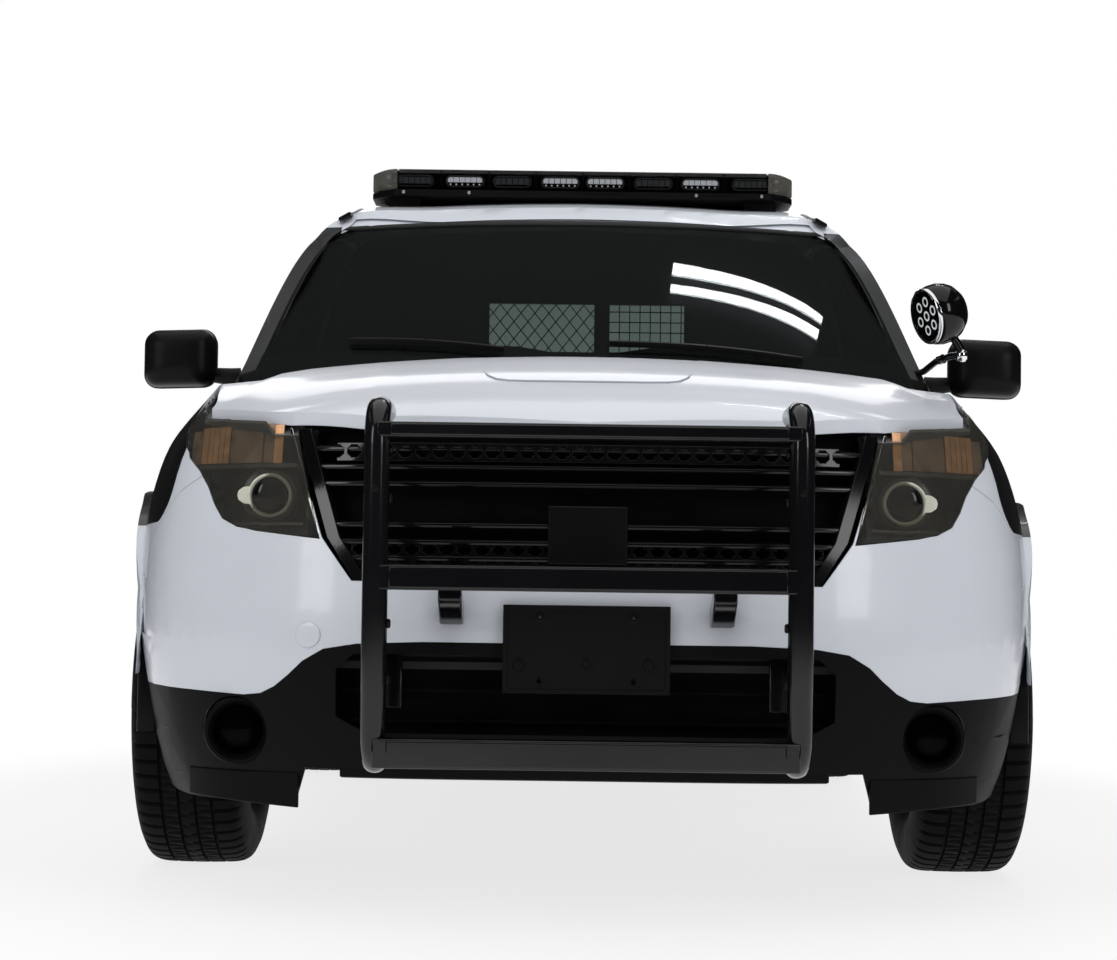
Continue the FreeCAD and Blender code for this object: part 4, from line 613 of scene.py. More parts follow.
# ---------------------------------------------------------------- painted skins and glass
X, Y, Z = 0, 1, 2
SIDE_CUTS = ((Y, 0.055), (Z, 0.03), (X, 0.06))
FASCIA_CUTS, TOP_CUTS = ((X, 0.035), (Z, 0.03)), ((Y, 0.07), (X, 0.05))
PANE_CUTS = ((Y, 0.08), (Z, 0.04))
skin("hood", hood_warp, ((Y, 0.035), (X, 0.05)), paint)
skin("front_fenders", body_warp, ((Y, 0.04), (Z, 0.03)), side_paint)
skin("bumper_cover", body_warp, FASCIA_CUTS, paint)
skin("lower_fascia", body_warp, FASCIA_CUTS, textured_black)
skin("roof_panel", cabin_warp, TOP_CUTS, paint)
skin("liftgate", cabin_warp, ((Y, 0.07), (Z, 0.05)), side_paint)
skin("rear_bumper", tail_bumper_warp, ((X, 0.04), (Z, 0.05)), textured_black)
skin("tail_lamps", cabin_warp, ((Y, 0.05), (Z, 0.04)), lamp_red)
smooth_screen(skin("windshield", screen_warp, ((X, 0.05), (Z, 0.08)), screen_glass))
skin("quarter_glass", cabin_warp, PANE_CUTS, dark_glass)
skin("liftgate_glass", cabin_warp, ((X, 0.08), (Z, 0.06)), gate_glass)
for side in ("left", "right"):
    skin("body_side_" + side, cabin_warp, SIDE_CUTS, side_paint)
    for end in ("front", "rear"):
        skin(f"door_{end}_{side}", cabin_warp, SIDE_CUTS, side_paint)
        skin(f"glass_{end}_{side}", cabin_warp, PANE_CUTS, dark_glass)

NODE_FINISH = {
    "underbody": frame_metal, "front_subframe": frame_metal, "rear_axle": frame_metal, "engine": cast_iron,
    "cooling_pack": dark_plastic, "fuel_tank": dark_plastic, "exhaust": steel, "plate_bracket": satin_black,
    "light_bar_base": satin_black, "dashboard": dash_plastic, "partition": satin_black, "bulkhead": dark_plastic,
    "knuckle_left": cast_iron, "knuckle_right": cast_iron,
}
for name, material in NODE_FINISH.items():
    mesh = NODES[name].data
    mesh.materials.clear()
    mesh.materials.append(material)
    mesh.polygons.foreach_set("material_index", [0] * len(mesh.polygons))


# ---------------------------------------------------------------- shape tools
def field_line(field, key):
    """The smooth surface's line at one key, in mm."""
    k = np.clip(key * MM, field.keys[0], field.keys[-1])
    i = min(int(np.searchsorted(field.keys, k, side="right")) - 1, len(field.keys) - 2)
    r = (i + (k - field.keys[i]) / (field.keys[i + 1] - field.keys[i])) * field.SUB
    a = min(int(r), field.smooth.shape[0] - 2)
    return (field.smooth[a] * (1 - r + a) + field.smooth[a + 1] * (r - a)) / MM


def field_at(field, key, x):
    """The surface's second coordinate at one key and half-width x, in mm."""
    line = field_line(field, key)
    return float(np.interp(abs(x), line[:, 0], line[:, 1]))


def nose_s(x, z):
    return field_at(NOSE_FIELD, z, x)


def on_nose(x, z, depth=0.0):
    """The point depth behind the nose's surface."""
    return x, nose_s(x, z) + depth, z


def hood_z(x, s):
    return field_at(HOOD_FIELD, s, x)


def bumper_s(x, z):
    return field_at(TAIL_FIELD, z, x)


def side_x(s, z):
    """Half-width of the body side at station s and height z, in mm."""
    line = field_line(CABIN_FIELD if s * MM >= CABIN_FROM else FRONT_FIELD, s)
    top = int(np.argmax(line[:, 1] > 1700)) or len(line)
    return float(np.interp(z, line[:top, 1], line[:top, 0]))


def roof_z(x, s):
    """Height of the crowned roof at half-width x and station s, in mm."""
    line = field_line(CABIN_FIELD, s)[::-1]
    z = float(np.interp(abs(x), line[:, 0], line[:, 1]))
    return z + float(roof_crown(s * MM, z * MM)) / MM


def turns(n):
    """Evenly spaced angles, n to a full turn."""
    return np.linspace(0, 2 * math.pi, n, endpoint=False)


class Shape:
    """Collects simple closed forms (in mm: x, s, z) and makes one piece of them."""

    def __init__(self):
        self.points, self.faces = [], []

    def add(self, points, faces):
        n = len(self.points)
        self.points += [P(*p) if not isinstance(p, Vector) else p for p in points]
        self.faces += [[i + n for i in f] for f in faces]
        return self

    def rings(self, rings, closed=False, caps=True):
        """Skins closed rings of equal length, one after another."""
        n, m = len(rings), len(rings[0])
        faces = [[i * m + j, i * m + (j + 1) % m, (i + 1) % n * m + (j + 1) % m, (i + 1) % n * m + j]
                 for i in range(n if closed else n - 1) for j in range(m)]
        if caps and not closed:
            faces += [list(range(m))[::-1], [(n - 1) * m + j for j in range(m)]]
        return self.add([p for ring in rings for p in ring], faces)

    def box(self, x0, x1, s0, s1, z0, z1):
        return self.rings([[(x0, s0, z), (x1, s0, z), (x1, s1, z), (x0, s1, z)] for z in (z0, z1)])

    def prism_x(self, outline, x0, x1):
        return self.rings([[(x, s, z) for s, z in outline] for x in (x0, x1)])

    def tube(self, path, r, sides=14, closed=False):
        """A round tube along a path of (x, s, z) points."""
        path = [P(*p) for p in path]
        rings, up = [], None
        for i, p in enumerate(path):
            a = path[i - 1] if i or closed else p
            b = path[(i + 1) % len(path)] if i < len(path) - 1 or closed else p
            along = (b - a).normalized()
            if up is None:
                up = along.orthogonal()
            up = (up - along * up.dot(along)).normalized()
            across = along.cross(up)
            rad = (r[i] if isinstance(r, (list, tuple)) else r) * MM
            rings.append([p + (up * math.cos(t) + across * math.sin(t)) * rad for t in turns(sides)])
        return self.rings(rings, closed)

    def lathe(self, profile, centre, axis, steps=40, closed=False):
        """A profile of (distance along the axis, radius) turned about the axis."""
        axis = Vector(axis).normalized()
        u = axis.orthogonal().normalized()
        w = axis.cross(u)
        c = P(*centre)
        points = [c + axis * (d * MM) + (u * math.cos(t) + w * math.sin(t)) * (r * MM)
                  for t in turns(steps) for d, r in profile]
        m = len(profile)
        faces = [[i * m + j, (i + 1) % steps * m + j, (i + 1) % steps * m + (j + 1) % m, i * m + (j + 1) % m]
                 for i in range(steps) for j in range(m if closed else m - 1)]
        if not closed:
            faces += [[i * m for i in range(steps)][::-1], [i * m + m - 1 for i in range(steps)]]
        return self.add(points, faces)

    def plate(self, us, vs, at, skip=None):
        """A plate over a grid with gaps where skip says so; at(u, v, back) is a point of its front or back."""
        cells = {(i, j) for i in range(len(us) - 1) for j in range(len(vs) - 1)
                 if not (skip and skip((us[i] + us[i + 1]) / 2, (vs[j] + vs[j + 1]) / 2))}
        n, k = len(vs), len(us) * len(vs)
        faces = []
        for i, j in sorted(cells):
            a, b, c, d = i * n + j, (i + 1) * n + j, (i + 1) * n + j + 1, i * n + j + 1
            faces += [[a, b, c, d], [d + k, c + k, b + k, a + k]]
            faces += [[e, e + k, f + k, f] for step, e, f in (((0, -1), a, b), ((1, 0), b, c), ((0, 1), c, d),
                                                              ((-1, 0), d, a))
                      if (i + step[0], j + step[1]) not in cells]
        points = [at(u, v, back) for back in (0, 1) for u in us for v in vs]
        used = {i: number for number, i in enumerate(sorted({i for f in faces for i in f}))}
        return self.add([points[i] for i in used], [[used[i] for i in f] for f in faces])

    def nose_plate(self, xs, zs, depth, thick, skip=None):
        """A plate that follows the nose, depth behind its surface."""
        return self.plate(xs, zs, lambda x, z, back: on_nose(x, z, depth + back * thick), skip)

    def flipped(self):
        """Moves the form to the vehicle's other side."""
        self.points = [Vector((-p.x, p.y, p.z)) for p in self.points]
        self.faces = [f[::-1] for f in self.faces]
        return self

    def mirror(self):
        """Adds the same form on the vehicle's other side."""
        other = Shape().add(self.points, self.faces).flipped()
        return self.add(other.points, other.faces)

    def piece(self, name, material, slot="black_plastic", body="body", bevel=0.0, sub=0, sharp=35.0, replaces=()):
        bm = bmesh.new()
        made = [bm.verts.new(p) for p in self.points]
        for f in self.faces:
            bm.faces.new([made[i] for i in f])
        bmesh.ops.remove_doubles(bm, verts=bm.verts, dist=1e-6)
        bmesh.ops.recalc_face_normals(bm, faces=bm.faces)
        mesh = bpy.data.meshes.new(name)
        bm.to_mesh(mesh)
        bm.free()
        o = placed(name, mesh, material, body, sharp)
        if bevel:
            m = o.modifiers.new("edges", "BEVEL")
            m.width, m.segments, m.limit_method, m.angle_limit = bevel * MM, 2, "ANGLE", math.radians(35)
        if sub:
            m = o.modifiers.new("smooth", "SUBSURF")
            m.levels = m.render_levels = sub
        if replaces:
            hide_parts(*replaces)
        return o


def shapes(n):
    return (Shape() for _ in range(n))


def arc(cx, cy, r, a0, a1, n):
    return [(cx + r * math.cos(math.radians(a0 + (a1 - a0) * i / n)),
             cy + r * math.sin(math.radians(a0 + (a1 - a0) * i / n))) for i in range(n + 1)]


def round_rect(w, h, r, n=5):
    """Half-width w, half-height h and corner radius r, as (a, b) points."""
    return [p for cx, cy, a in ((w - r, h - r, 0), (r - w, h - r, 90), (r - w, r - h, 180), (w - r, r - h, 270))
            for p in arc(cx, cy, r, a, a + 90, n)]


# ---------------------------------------------------------------- front: lamps, grille, bumper fittings
LAMP_CUTS = ((X, 0.03), (Z, 0.03))
ON_SURFACE, UNDER_HOOD = 0.0015, 0.011       # metres


def headlamp_parts():
    """Splits the headlamps into their clear outer lenses and the bowls behind them."""
    points, tris = welded(NODES["headlamps"].data)
    for axis, step in LAMP_CUTS:
        points, tris = sliced(points, tris, axis, step)
    x, s, z = np.abs(points[:, 0]), points[:, 1] - AXLE_Y * MM, points[:, 2]
    outer = NOSE_FIELD.place(z, np.stack([x, s], 1))[3] < ON_SURFACE
    moved = body_warp(x, s, z)
    lid = np.array([hood_z(a / MM, b / MM) * MM for a, b in moved[:, :2]]) - UNDER_HOOD
    moved[:, 2] = np.minimum(moved[:, 2], lid)
    moved[:, 0] *= np.where(points[:, 0] < 0, -1, 1)
    moved[:, 1] += AXLE_Y * MM
    front = outer[tris].all(1)
    made = []
    for part, faces, material in (("lens", tris[front], lens_lamp), ("bowl", tris[~front], lamp_grey)):
        used, faces_used = np.unique(faces, return_inverse=True)
        made.append(mesh_object("headlamps_" + part, moved[used], faces_used.reshape(-1, 3), material, "body"))
    lens, bowl = made
    m = lens.modifiers.new("thick", "SOLIDIFY")
    m.thickness, m.offset = 2.5 * MM, -1
    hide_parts("headlamps")


headlamp_parts()


# inside the lamps: amber turn lamp above a ledge, projector with its collar below
def lamp_inner(z):
    """Half-width of the lamp's inner edge at height z."""
    return 577 + (508 - 577) * (938 - z) / (938 - 722)


turn, dull_turn, ledge, trim = shapes(4)
for z0, z1, x0, x1, depth, shape in ((868, 944, 712, 776, 9, turn), (868, 948, 640, 711, 15, dull_turn),
                                     (866, 944, 597, 616, 8, turn), (868, 948, 617, 639, 18, dull_turn),
                                     (868, 938, 777, 800, 12, dull_turn)):
    shape.nose_plate(np.linspace(x0, x1, 7), np.linspace(z0, z1, 7), depth, 6)
for x in (724, 736, 748, 760):
    dull_turn.nose_plate([x, x + 1.5], np.linspace(870, 942, 5), 7.5, 3)
ledge.nose_plate(np.linspace(566, 780, 16), [858, 861, 866], 5, 22)
ledge.nose_plate(np.linspace(548, 700, 10), [744, 747, 750], 5, 22)
trim.rings([[on_nose(lamp_inner(z) + a, z, d) for a, d in ((3, 3), (9, 3), (9, 42), (3, 42))]
            for z in np.linspace(728, 936, 22)])
turn.mirror().piece("turn_reflector", amber, "lamp", bevel=2)
dull_turn.mirror().piece("turn_reflector_dull", lamp_brown, "lamp", bevel=1)
ledge.mirror().piece("lamp_ledge", lamp_grey, "lamp", bevel=2)
trim.mirror().piece("lamp_inner_trim", chrome, "lamp", bevel=1)
collar, dome, barrel, tab = shapes(4)
px, pz = 620.0, 803.0
projector = on_nose(px, pz, 22)
ALONG = (0, 1, 0)
collar.lathe([(0, 36), (-5, 37.5), (-7, 40), (-5, 43), (0, 44), (14, 44), (14, 36)], projector, ALONG, 48, True)
dome.lathe([(3 - 15 * math.cos(t), 36.5 * math.sin(t)) for t in np.linspace(0.01, math.pi / 2, 9)] + [(14, 36.5)],
           projector, ALONG, 48)
barrel.lathe([(8, 50), (8, 44), (60, 44), (60, 58), (20, 58)], projector, ALONG, 48, True)
tab.rings([[(px + 38 + a, projector[1] + d, pz + b) for a, b in
            ((0, -18), (14, -16), (24, -9), (26, 0), (24, 9), (14, 16), (0, 18))] for d in (-4, 4)])
collar.mirror().piece("projector_collar", lamp_cream, "lamp")
dome.mirror().piece("projector_lens", gloss_black, "lamp")
barrel.mirror().piece("projector_barrel", lamp_grey, "lamp")
tab.mirror().piece("projector_tab", lamp_cream, "lamp", bevel=2)


# grille: slats, scalloped top strip, perforated lower strip, end cheeks
def grille_half(z):
    return (np.interp(z, (640, 722, 935, 990), (448, 502, 568, 568))) - 2


slats, cheeks, holed = shapes(3)
for z in (893, 858, 825, 746, 713, 682):
    w = grille_half(z)
    slats.rings([[(x, nose_s(x, z) + 6 + d, z + h) for d, h in
                  ((0, 0), (1, 4), (8, 8), (46, 10), (46, -2), (10, -4), (2, -4))] for x in np.linspace(-w, w, 41)])
slats.piece("grille_slats", gloss_black, "trim_plastic", bevel=0.8)
rings = []
for z in np.linspace(641, 934, 30):
    outer, inner = grille_half(z), grille_half(z) - 30
    rings.append([(x, nose_s(at, z) + d, z) for x, at, d in
                  ((outer, outer, 3), (inner + 6, inner, 4), (inner, inner, 12), (inner - 4, inner, 60),
                   (outer, outer, 60))])
cheeks.rings(rings).mirror().piece("grille_cheeks", gloss_black, "trim_plastic")
# the plate behind the grille is a near-black sheet of painted shade for the deep dark behind the slats
back_plate = Shape().nose_plate(np.linspace(-545, 545, 31), np.linspace(640, 930, 8), 62, 8)
back_plate.piece("grille_shade_sheet", black_and_painted_shade, "trim_plastic", replaces=("grille",))
PITCH, STEP = 33.5, 3.2      # between the grille's holes, and between the rows of its plates' grid


def off_hole(x):
    """Distance from the middle of the nearest hole in a row."""
    return x - PITCH * (math.floor(x / PITCH) + 0.5)


def scallop(x, z):
    return math.hypot(off_hole(x), z - 889) < 13


def honey(x, z):
    """True inside a hole of the lower strip's two staggered rows."""
    off, row_z = (0, 682) if z < 690 else (PITCH / 2, 699)
    return math.hypot(off_hole(x - off), (z - row_z) * 1.4) < 13.5


for reach, foot, rows, depth, hole in ((145, 870, 12, 4, scallop), (135, 670, 13, 10, honey)):
    holed.nose_plate([i * PITCH / 10 for i in range(-reach, reach + 1)], [foot + STEP * i for i in range(rows)],
                     depth, 5, hole)
holed.piece("grille_perforated", gloss_black, "trim_plastic")
sensor = Shape().nose_plate(np.linspace(-76, 76, 5), [674, 700, 740, 786], -8, 10)
sensor.piece("sensor_plate", satin_black, "trim_plastic", bevel=3)

# lower fascia: intake mesh, fog lamps, splitter corners, tow-eye cover
louvre, dams, lip, fog_ring, fog_body, fog_lens = shapes(6)
for z in (372, 430, 488):
    louvre.box(-462, 462, -896, -884, z - 3, z + 3)
louvre.piece("intake_louvres", black_and_painted_shade)
# near-black sheet behind the intake: painted shade for the dark cavity behind the louvres
Shape().box(-480, 480, -872, -866, 330, 520).piece("intake_shade_sheet", black_and_painted_shade)
fog, fog_axis = on_nose(675.0, 346.0, 8), (0.12, 1, 0)
fog_ring.lathe([(-14, 66), (-18, 64), (-18, 58), (-8, 50), (30, 47), (30, 66)], fog, fog_axis, 48, True)
fog_body.lathe([(22, 1), (22, 52), (50, 52), (50, 1)], fog, fog_axis)
fog_lens.lathe([(4, 2), (6, 20), (12, 40), (18, 48), (22, 48)], fog, fog_axis)
fog_ring.mirror().piece("fog_bezel", textured_black)
fog_body.mirror().piece("fog_housing", dark_plastic, "lamp")
fog_lens.mirror().piece("fog_lens", lens_smoke, "glass")
tow = Shape().rings([[on_nose(-532 + 25 * r * math.cos(t), 534 + 25 * r * math.sin(t), d) for t in turns(32)]
                     for r, d in ((0.9, 3), (1.0, -0.6), (0.95, -1.2), (0.6, -1.2), (0.02, -1.2))])
tow.piece("tow_eye_cover", paint, "paint")
rings = []
for x in np.linspace(552, 786, 14):
    s, share = nose_s(x, 262), (x - 552) / 234
    top, foot = 268 - 2 * share, 199 + 13 * share
    rings.append([(x, s - 4, top), (x, s + 3, foot), (x, s + 14, foot), (x, s + 14, top)])
dams.rings(rings).mirror().piece("corner_dams", textured_black, bevel=2)
lip.rings([[(x, nose_s(x, 282) + d, z) for d, z in ((2, 292), (6, 262), (40, 258), (40, 290))]
           for x in np.linspace(-470, 470, 25)])
lip.piece("lower_lip", textured_black, bevel=2)

# hood: the line round its raised middle, drawn as a darker bead of painted shade where the step's shadow falls
CREASE = [(0, -692), (60, -692), (120, -691), (160, -686), (185, -670), (203, -630), (216, -560), (232, -420),
          (252, -260), (272, -120), (288, -30)]
crease = Shape().tube([(x, s, hood_z(x, s) - 1.0) for x, s in [(-x, s) for x, s in CREASE[:0:-1]] + CREASE], 5, 8)
crease.piece("hood_crease_shade_line", painted_crease_shade, "paint", NODES["hood"]["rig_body"])

# push bumper: two bent tubes, three channels and the brackets behind them
PUSH_X, PUSH_S, PUSH_R, BEND = 392, -1104, 24, 70
PUSH_TOP, PUSH_FOOT = 960, 305
CHANNELS = ((903, 931), (622, 668), (296, 350))
tubes, channels, bolts, pads, stays = shapes(5)
bent = [(PUSH_S + 150, PUSH_TOP)] + arc(PUSH_S + BEND, PUSH_TOP - BEND, BEND, 90, 180, 8)
bent += arc(PUSH_S + BEND, PUSH_FOOT + BEND, BEND, 180, 270, 8) + [(PUSH_S + 150, PUSH_FOOT)]
for sign in (-1, 1):
    x = sign * PUSH_X
    tubes.tube([(x, s, z) for s, z in bent], PUSH_R, 28)
    channels.box(x - 12, x + 12, PUSH_S, -895, 395, 480)
    channels.box(x - 40, x + 40, -903, -895, 395, 560)
    for z in (790, 880, 560, 455):
        bolts.lathe([(0, 9), (4, 9), (6, 6), (6, 0.5)], (x - sign * PUSH_R, PUSH_S, z), (-sign, 0, 0), 6)
    bolts.lathe([(0, 7), (1.5, 7), (2.5, 4), (2.5, 0.5)], (x, PUSH_S - 23.5, 808), (0, -1, 0), 20)
    stays.prism_x([(-1085, 632), (-1085, 604), (-1010, 560), (-930, 556), (-930, 590), (-1010, 610), (-1050, 632)],
                  sign * 255 - 22, sign * 255 + 22)
for z0, z1 in CHANNELS:
    channels.box(-PUSH_X, PUSH_X, PUSH_S - 22, PUSH_S + 22, z0, z1)
    pads.prism_x([(-1128.5, z0 + 4), (-1128.5, z1 - 4), (-1122, z1 - 1), (-1122, z0 + 1)], -366, 366)
tubes.piece("push_tubes", push_black, "push_paint", replaces=("push_bumper",))
channels.piece("push_channels", push_black, "push_paint", bevel=3)
bolts.piece("push_bumper_bolts", satin_black, "push_paint")
pads.piece("push_bumper_pads", push_black, "push_paint", bevel=2)
stays.piece("push_bumper_stays", push_black, "push_paint", bevel=3)

# plate bracket detail: bosses and a raised rim round the bare plate place
BRACKET_S, BRACKET_Z = -985, 513.5
raised, outline, inline = Shape(), round_rect(158, 83, 14), round_rect(150, 75, 10)
raised.rings([[(a, BRACKET_S + d, BRACKET_Z + b) for a, b in ring] for ring, d in
              ((outline, 12), (outline, -3), (inline, -3), (inline, 4))], caps=False)
for bx, bz, br in ((-88.9, 60.3, 9), (88.9, 60.3, 9), (-88.9, -60.3, 9), (88.9, -60.3, 9), (-128, -32, 15),
                   (118, -30, 15), (0, -28, 12)):
    raised.lathe([(2, br), (-2, br), (-3, br - 3), (1, br - 5), (1, 4), (2, 4)], (bx, BRACKET_S, BRACKET_Z + bz),
                 ALONG, 24, True)
raised.piece("plate_bracket_rim", satin_black)


# ---------------------------------------------------------------- light bar
BAR_S, BAR_Z = (1450.0, 1750.0), (1786.0, 1848.0)


def bar_ring(x, shrink=0.0):
    """One cross-section of the light bar's lens; the bar narrows and drops towards its ends."""
    t = max(0.0, (abs(x) - 545.0) / 69.0)
    pull = 62.0 * t**1.7 + shrink
    s0, s1, top = BAR_S[0] + 4 + pull, BAR_S[1] - 4 - pull, BAR_Z[1] - 8 * t * t - shrink
    side = [(s0, BAR_Z[0] + 1), (s0 - 1, top - 12), (s0 + 3, top - 4), (s0 + 11, top)]
    return [(x, s, z) for s, z in side + [(s0 + s1 - s, z) for s, z in side[::-1]]]


bar_lens, bar_caps, bar_deck, bar_rims, bar_lit, bar_dull, bar_screws = shapes(7)
bar_lens.rings([bar_ring(x) for x in np.linspace(-536, 536, 9)])
bar_caps.rings([bar_ring(x) for x in (539, 548, 562, 578, 592, 603, 610, 613.5)])
bar_lens.piece("bar_lens_middle", lens_smoke, "bar_lens", bevel=2, replaces=("light_bar_lens",))
bar_caps.mirror().piece("bar_lens_ends", lens_haze, "bar_lens", bevel=2)
bar_deck.box(-560, 560, 1480, 1720, 1787, 1840)
bar_deck.box(-598, 598, 1500, 1700, 1787, 1802)
for x in (-539, -411, -272, -136, 0, 136, 272, 411, 539):
    bar_deck.box(x - 3, x + 3, 1458, 1742, 1788, 1843)


def bar_module(x, lit, back):
    """A stadium-shaped lamp unit: its rim, a row of reflectors and the small bright dies below them."""
    s, out = (1740, 1) if back else (1460, -1)

    def stadium(w, h, r, d):
        return [(x + a, s - out * d, 1813 + b) for a, b in round_rect(w, h, r, 6)]

    bar_rims.rings([stadium(w, h, h - 0.5, d) for w, h, d in
                    ((57, 17, 16), (57, 17, 1), (55, 15.5, -1), (52, 13, 1), (51, 12.5, 12))], caps=False)
    face = bar_lit if lit else bar_dull
    for i in range(6):
        a = x - 42 + 16.8 * i
        face.box(a - 7.4, a + 7.4, *sorted((s - out * 4, s - out * 14)), 1812 if lit else 1806, 1825)
        if lit:
            face.lathe([(0, 2.6), (3, 2), (4, 0.4)], (a, s - out * 7, 1805), (0, out, 0), 8)
    bar_deck.rings([stadium(52, 13, 12.5, d) for d in (13, 18)])


for x, lit in ((65, True), (343, True), (205, False), (490, False)):
    for back in (False, True):
        for sign in (-1, 1):
            bar_module(sign * x, lit, back)
bar_deck.piece("bar_deck", gloss_black, bevel=1)
bar_rims.piece("bar_module_rims", lamp_grey, "bar_lens")
bar_lit.piece("bar_modules_lit", led_white, "bar_lens")
bar_dull.piece("bar_modules_dull", led_dull, "bar_lens")
for x in (330, 520):
    for s, out in ((1449.0, -1), (1751.0, 1)):
        bar_screws.lathe([(0, 5), (2, 5), (3, 3.4), (2, 1)], (x, s, 1778), (0, out, 0), 12)
bar_screws.mirror().piece("bar_screws", steel)

# ---------------------------------------------------------------- roof mouldings, windscreen surround, wipers
ROOF_LINE_S, ROOF_LINE_X = (1240, 1600, 2100, 2600, 3150, 3620), (672, 664, 660, 650, 632, 608)
moulding, surround, cowl_slots = shapes(3)
rings = []
for s in np.linspace(1246, 3618, 60):
    x = float(np.interp(s, ROOF_LINE_S, ROOF_LINE_X))
    a, b = x - 17, x + 17
    za, zb = roof_z(a, s), roof_z(b, s)
    rings.append([(i, s, z) for i, z in ((a, za - 6), (a, za + 1.5), (a + 4, za + 4.5), (b - 4, zb + 4.5),
                                         (b, zb + 1.5), (b, zb - 6))])
moulding.rings(rings).mirror().piece("roof_mouldings", satin_black)
SCREEN_OUT, SCREEN_DOWN = Vector((0, -0.492, 0.870)), Vector((0, -0.870, -0.492))


def on_screen(x, share, off=0.0):
    """A point off above the windscreen, as a vector in metres."""
    s, z = screen_at(abs(x), np.array(share))
    return P(x, 0, 0) + Vector((0, s, z)) + SCREEN_OUT * (off * MM)


def wiper(x_pivot, x_tip, x_heel, tip_share, heel_share):
    """One parked wiper: pivot cap, tapering arm and a blade with its rubber lip along the glass."""
    arm, lip = shapes(2)
    n = 15
    spine = [(x_heel + (x_tip - x_heel) * t, heel_share + (tip_share - heel_share) * t + 0.012 * math.sin(math.pi * t))
             for t in (i / (n - 1) for i in range(n))]
    for shape, width, low, high in ((arm, 7, 7, 17), (lip, 1.6, 1, 8)):
        rings = []
        for i, (x, share) in enumerate(spine):
            w = SCREEN_DOWN * (width * (0.55 if i in (0, n - 1) else 1.0) * MM)
            a, b = on_screen(x, share, low), on_screen(x, share, high)
            rings.append([a - w, a + w, b + w * 0.6, b - w * 0.6])
        shape.rings(rings)
    foot = Vector((x_pivot * MM, *screen_at(abs(x_pivot), np.array(0.0)))) + Vector((0, -0.055, -0.012))
    middle = on_screen(*spine[7], 22)
    rings = []
    for t, w, h in ((0, 13, 9), (0.08, 14, 10), (0.3, 11, 8), (0.7, 8, 6), (0.97, 6, 4), (1.0, 3, 2)):
        c = foot.lerp(middle, t) + SCREEN_OUT * (0.02 * math.sin(math.pi * min(1, t * 1.1)))
        rings.append([c + SCREEN_DOWN * (a * w * MM) + SCREEN_OUT * (b * h * MM) for a, b in
                      ((-1, -0.7), (1, -0.7), (1, 0.4), (0.5, 1), (-0.5, 1), (-1, 0.4))])
    arm.rings(rings)
    centre = (foot.x / MM, foot.y / MM - AXLE_Y, foot.z / MM)
    arm.lathe([(-14, 13), (8, 13), (13, 9), (14, 1)], centre, SCREEN_OUT, 20)
    return arm, lip


for name, numbers in (("passenger", (-60, -592, -196, 0.178, 0.075)), ("driver", (560, 62, 545, 0.115, 0.085))):
    arm, lip = wiper(*numbers)
    arm.piece("wiper_arm_" + name, satin_black, bevel=1.2)
    lip.piece("wiper_blade_" + name, seal_rubber)
surround.rings([[on_screen(x, 0.992, 2.0) + Vector((0, dy, dz)) for dy, dz in
                 ((-0.008, -0.009), (-0.005, -0.003), (0.010, 0.004), (0.014, -0.012))]
                for x in np.linspace(-690, 690, 41)])
surround.piece("windscreen_top_seal", seal_rubber)
for x in np.arange(-560, 561, 14.0):
    f = (abs(x) / SCREEN_BASE[4]) ** 2
    s, z = 300 + 220 * f - 34, 1172 - 40 * f - 4
    cowl_slots.box(x - 4, x + 4, s - 26, s + 14, z - 3, z + 3)
cowl_slots.piece("cowl_louvres", satin_black, bevel=1)


# ---------------------------------------------------------------- mirrors and spotlight
def mirror_ring(s, share):
    return [(1040 + a * share + 4 * (1 - share), s, 1212 + b * share - 0.035 * a)
            for a, b in round_rect(92.0, 74.0, 36.0, 7)]


for side in ("left", "right"):
    made = shell, arm, pane, seam = tuple(shapes(4))
    shell.rings([mirror_ring(s, k) for s, k in
                 ((630, 0.30), (632, 0.55), (638, 0.74), (648, 0.87), (664, 0.95), (690, 0.99), (722, 1.0),
                  (742, 0.985), (743, 0.94), (737, 0.92))])
    arm.rings([[(x, 716 + 20 * math.cos(t) - 6 * (x < 930), z + h * math.sin(t)) for t in turns(16)]
               for x, z, h in ((886, 1166, 26), (910, 1168, 23), (950, 1172, 20), (1000, 1176, 20))])
    pane.rings([mirror_ring(s, 0.90) for s in (738, 741)])
    seam.tube(mirror_ring(700, 1.003), 1.6, 6, closed=True)
    if side == "right":
        for shape in made:
            shape.flipped()
    node = "mirror_" + side
    body = NODES[node]["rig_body"]
    shell.piece("mirror_shell_" + side, satin_black, body=body, bevel=1, sharp=50, replaces=(node,))
    arm.piece("mirror_arm_" + side, satin_black, body=body, sharp=50)
    pane.piece("mirror_pane_" + side, chrome, "glass", body)
    seam.piece("mirror_seam_" + side, seal_rubber, body=body)

SPOT_AXIS = Vector((-0.90, -0.34, -0.24)).normalized()
SPOT_FACE = Vector((887, 440, 1327)) + SPOT_AXIS * 44
spot_body, spot_ring, spot_bowl, spot_dies, spot_lens, spot_arm, spot_joint = shapes(7)
spot_body.lathe([(-2, 66), (-5, 70), (-14, 74), (-32, 77), (-52, 75), (-72, 66), (-90, 49), (-100, 32), (-105, 15),
                 (-106, 0.5)], SPOT_FACE, SPOT_AXIS, 48)
spot_ring.lathe([(-4, 71), (2, 70), (4, 67), (2, 62), (-4, 61)], SPOT_FACE, SPOT_AXIS, 48, True)
spot_bowl.lathe([(-1, 61.5), (-6, 61.5), (-6, 1), (-1.5, 1)], SPOT_FACE, SPOT_AXIS)
spot_lens.lathe([(-1, 61), (2, 60), (4, 45), (6, 20), (6.5, 0.5)], SPOT_FACE, SPOT_AXIS)
across = SPOT_AXIS.orthogonal().normalized()
upright = SPOT_AXIS.cross(across)
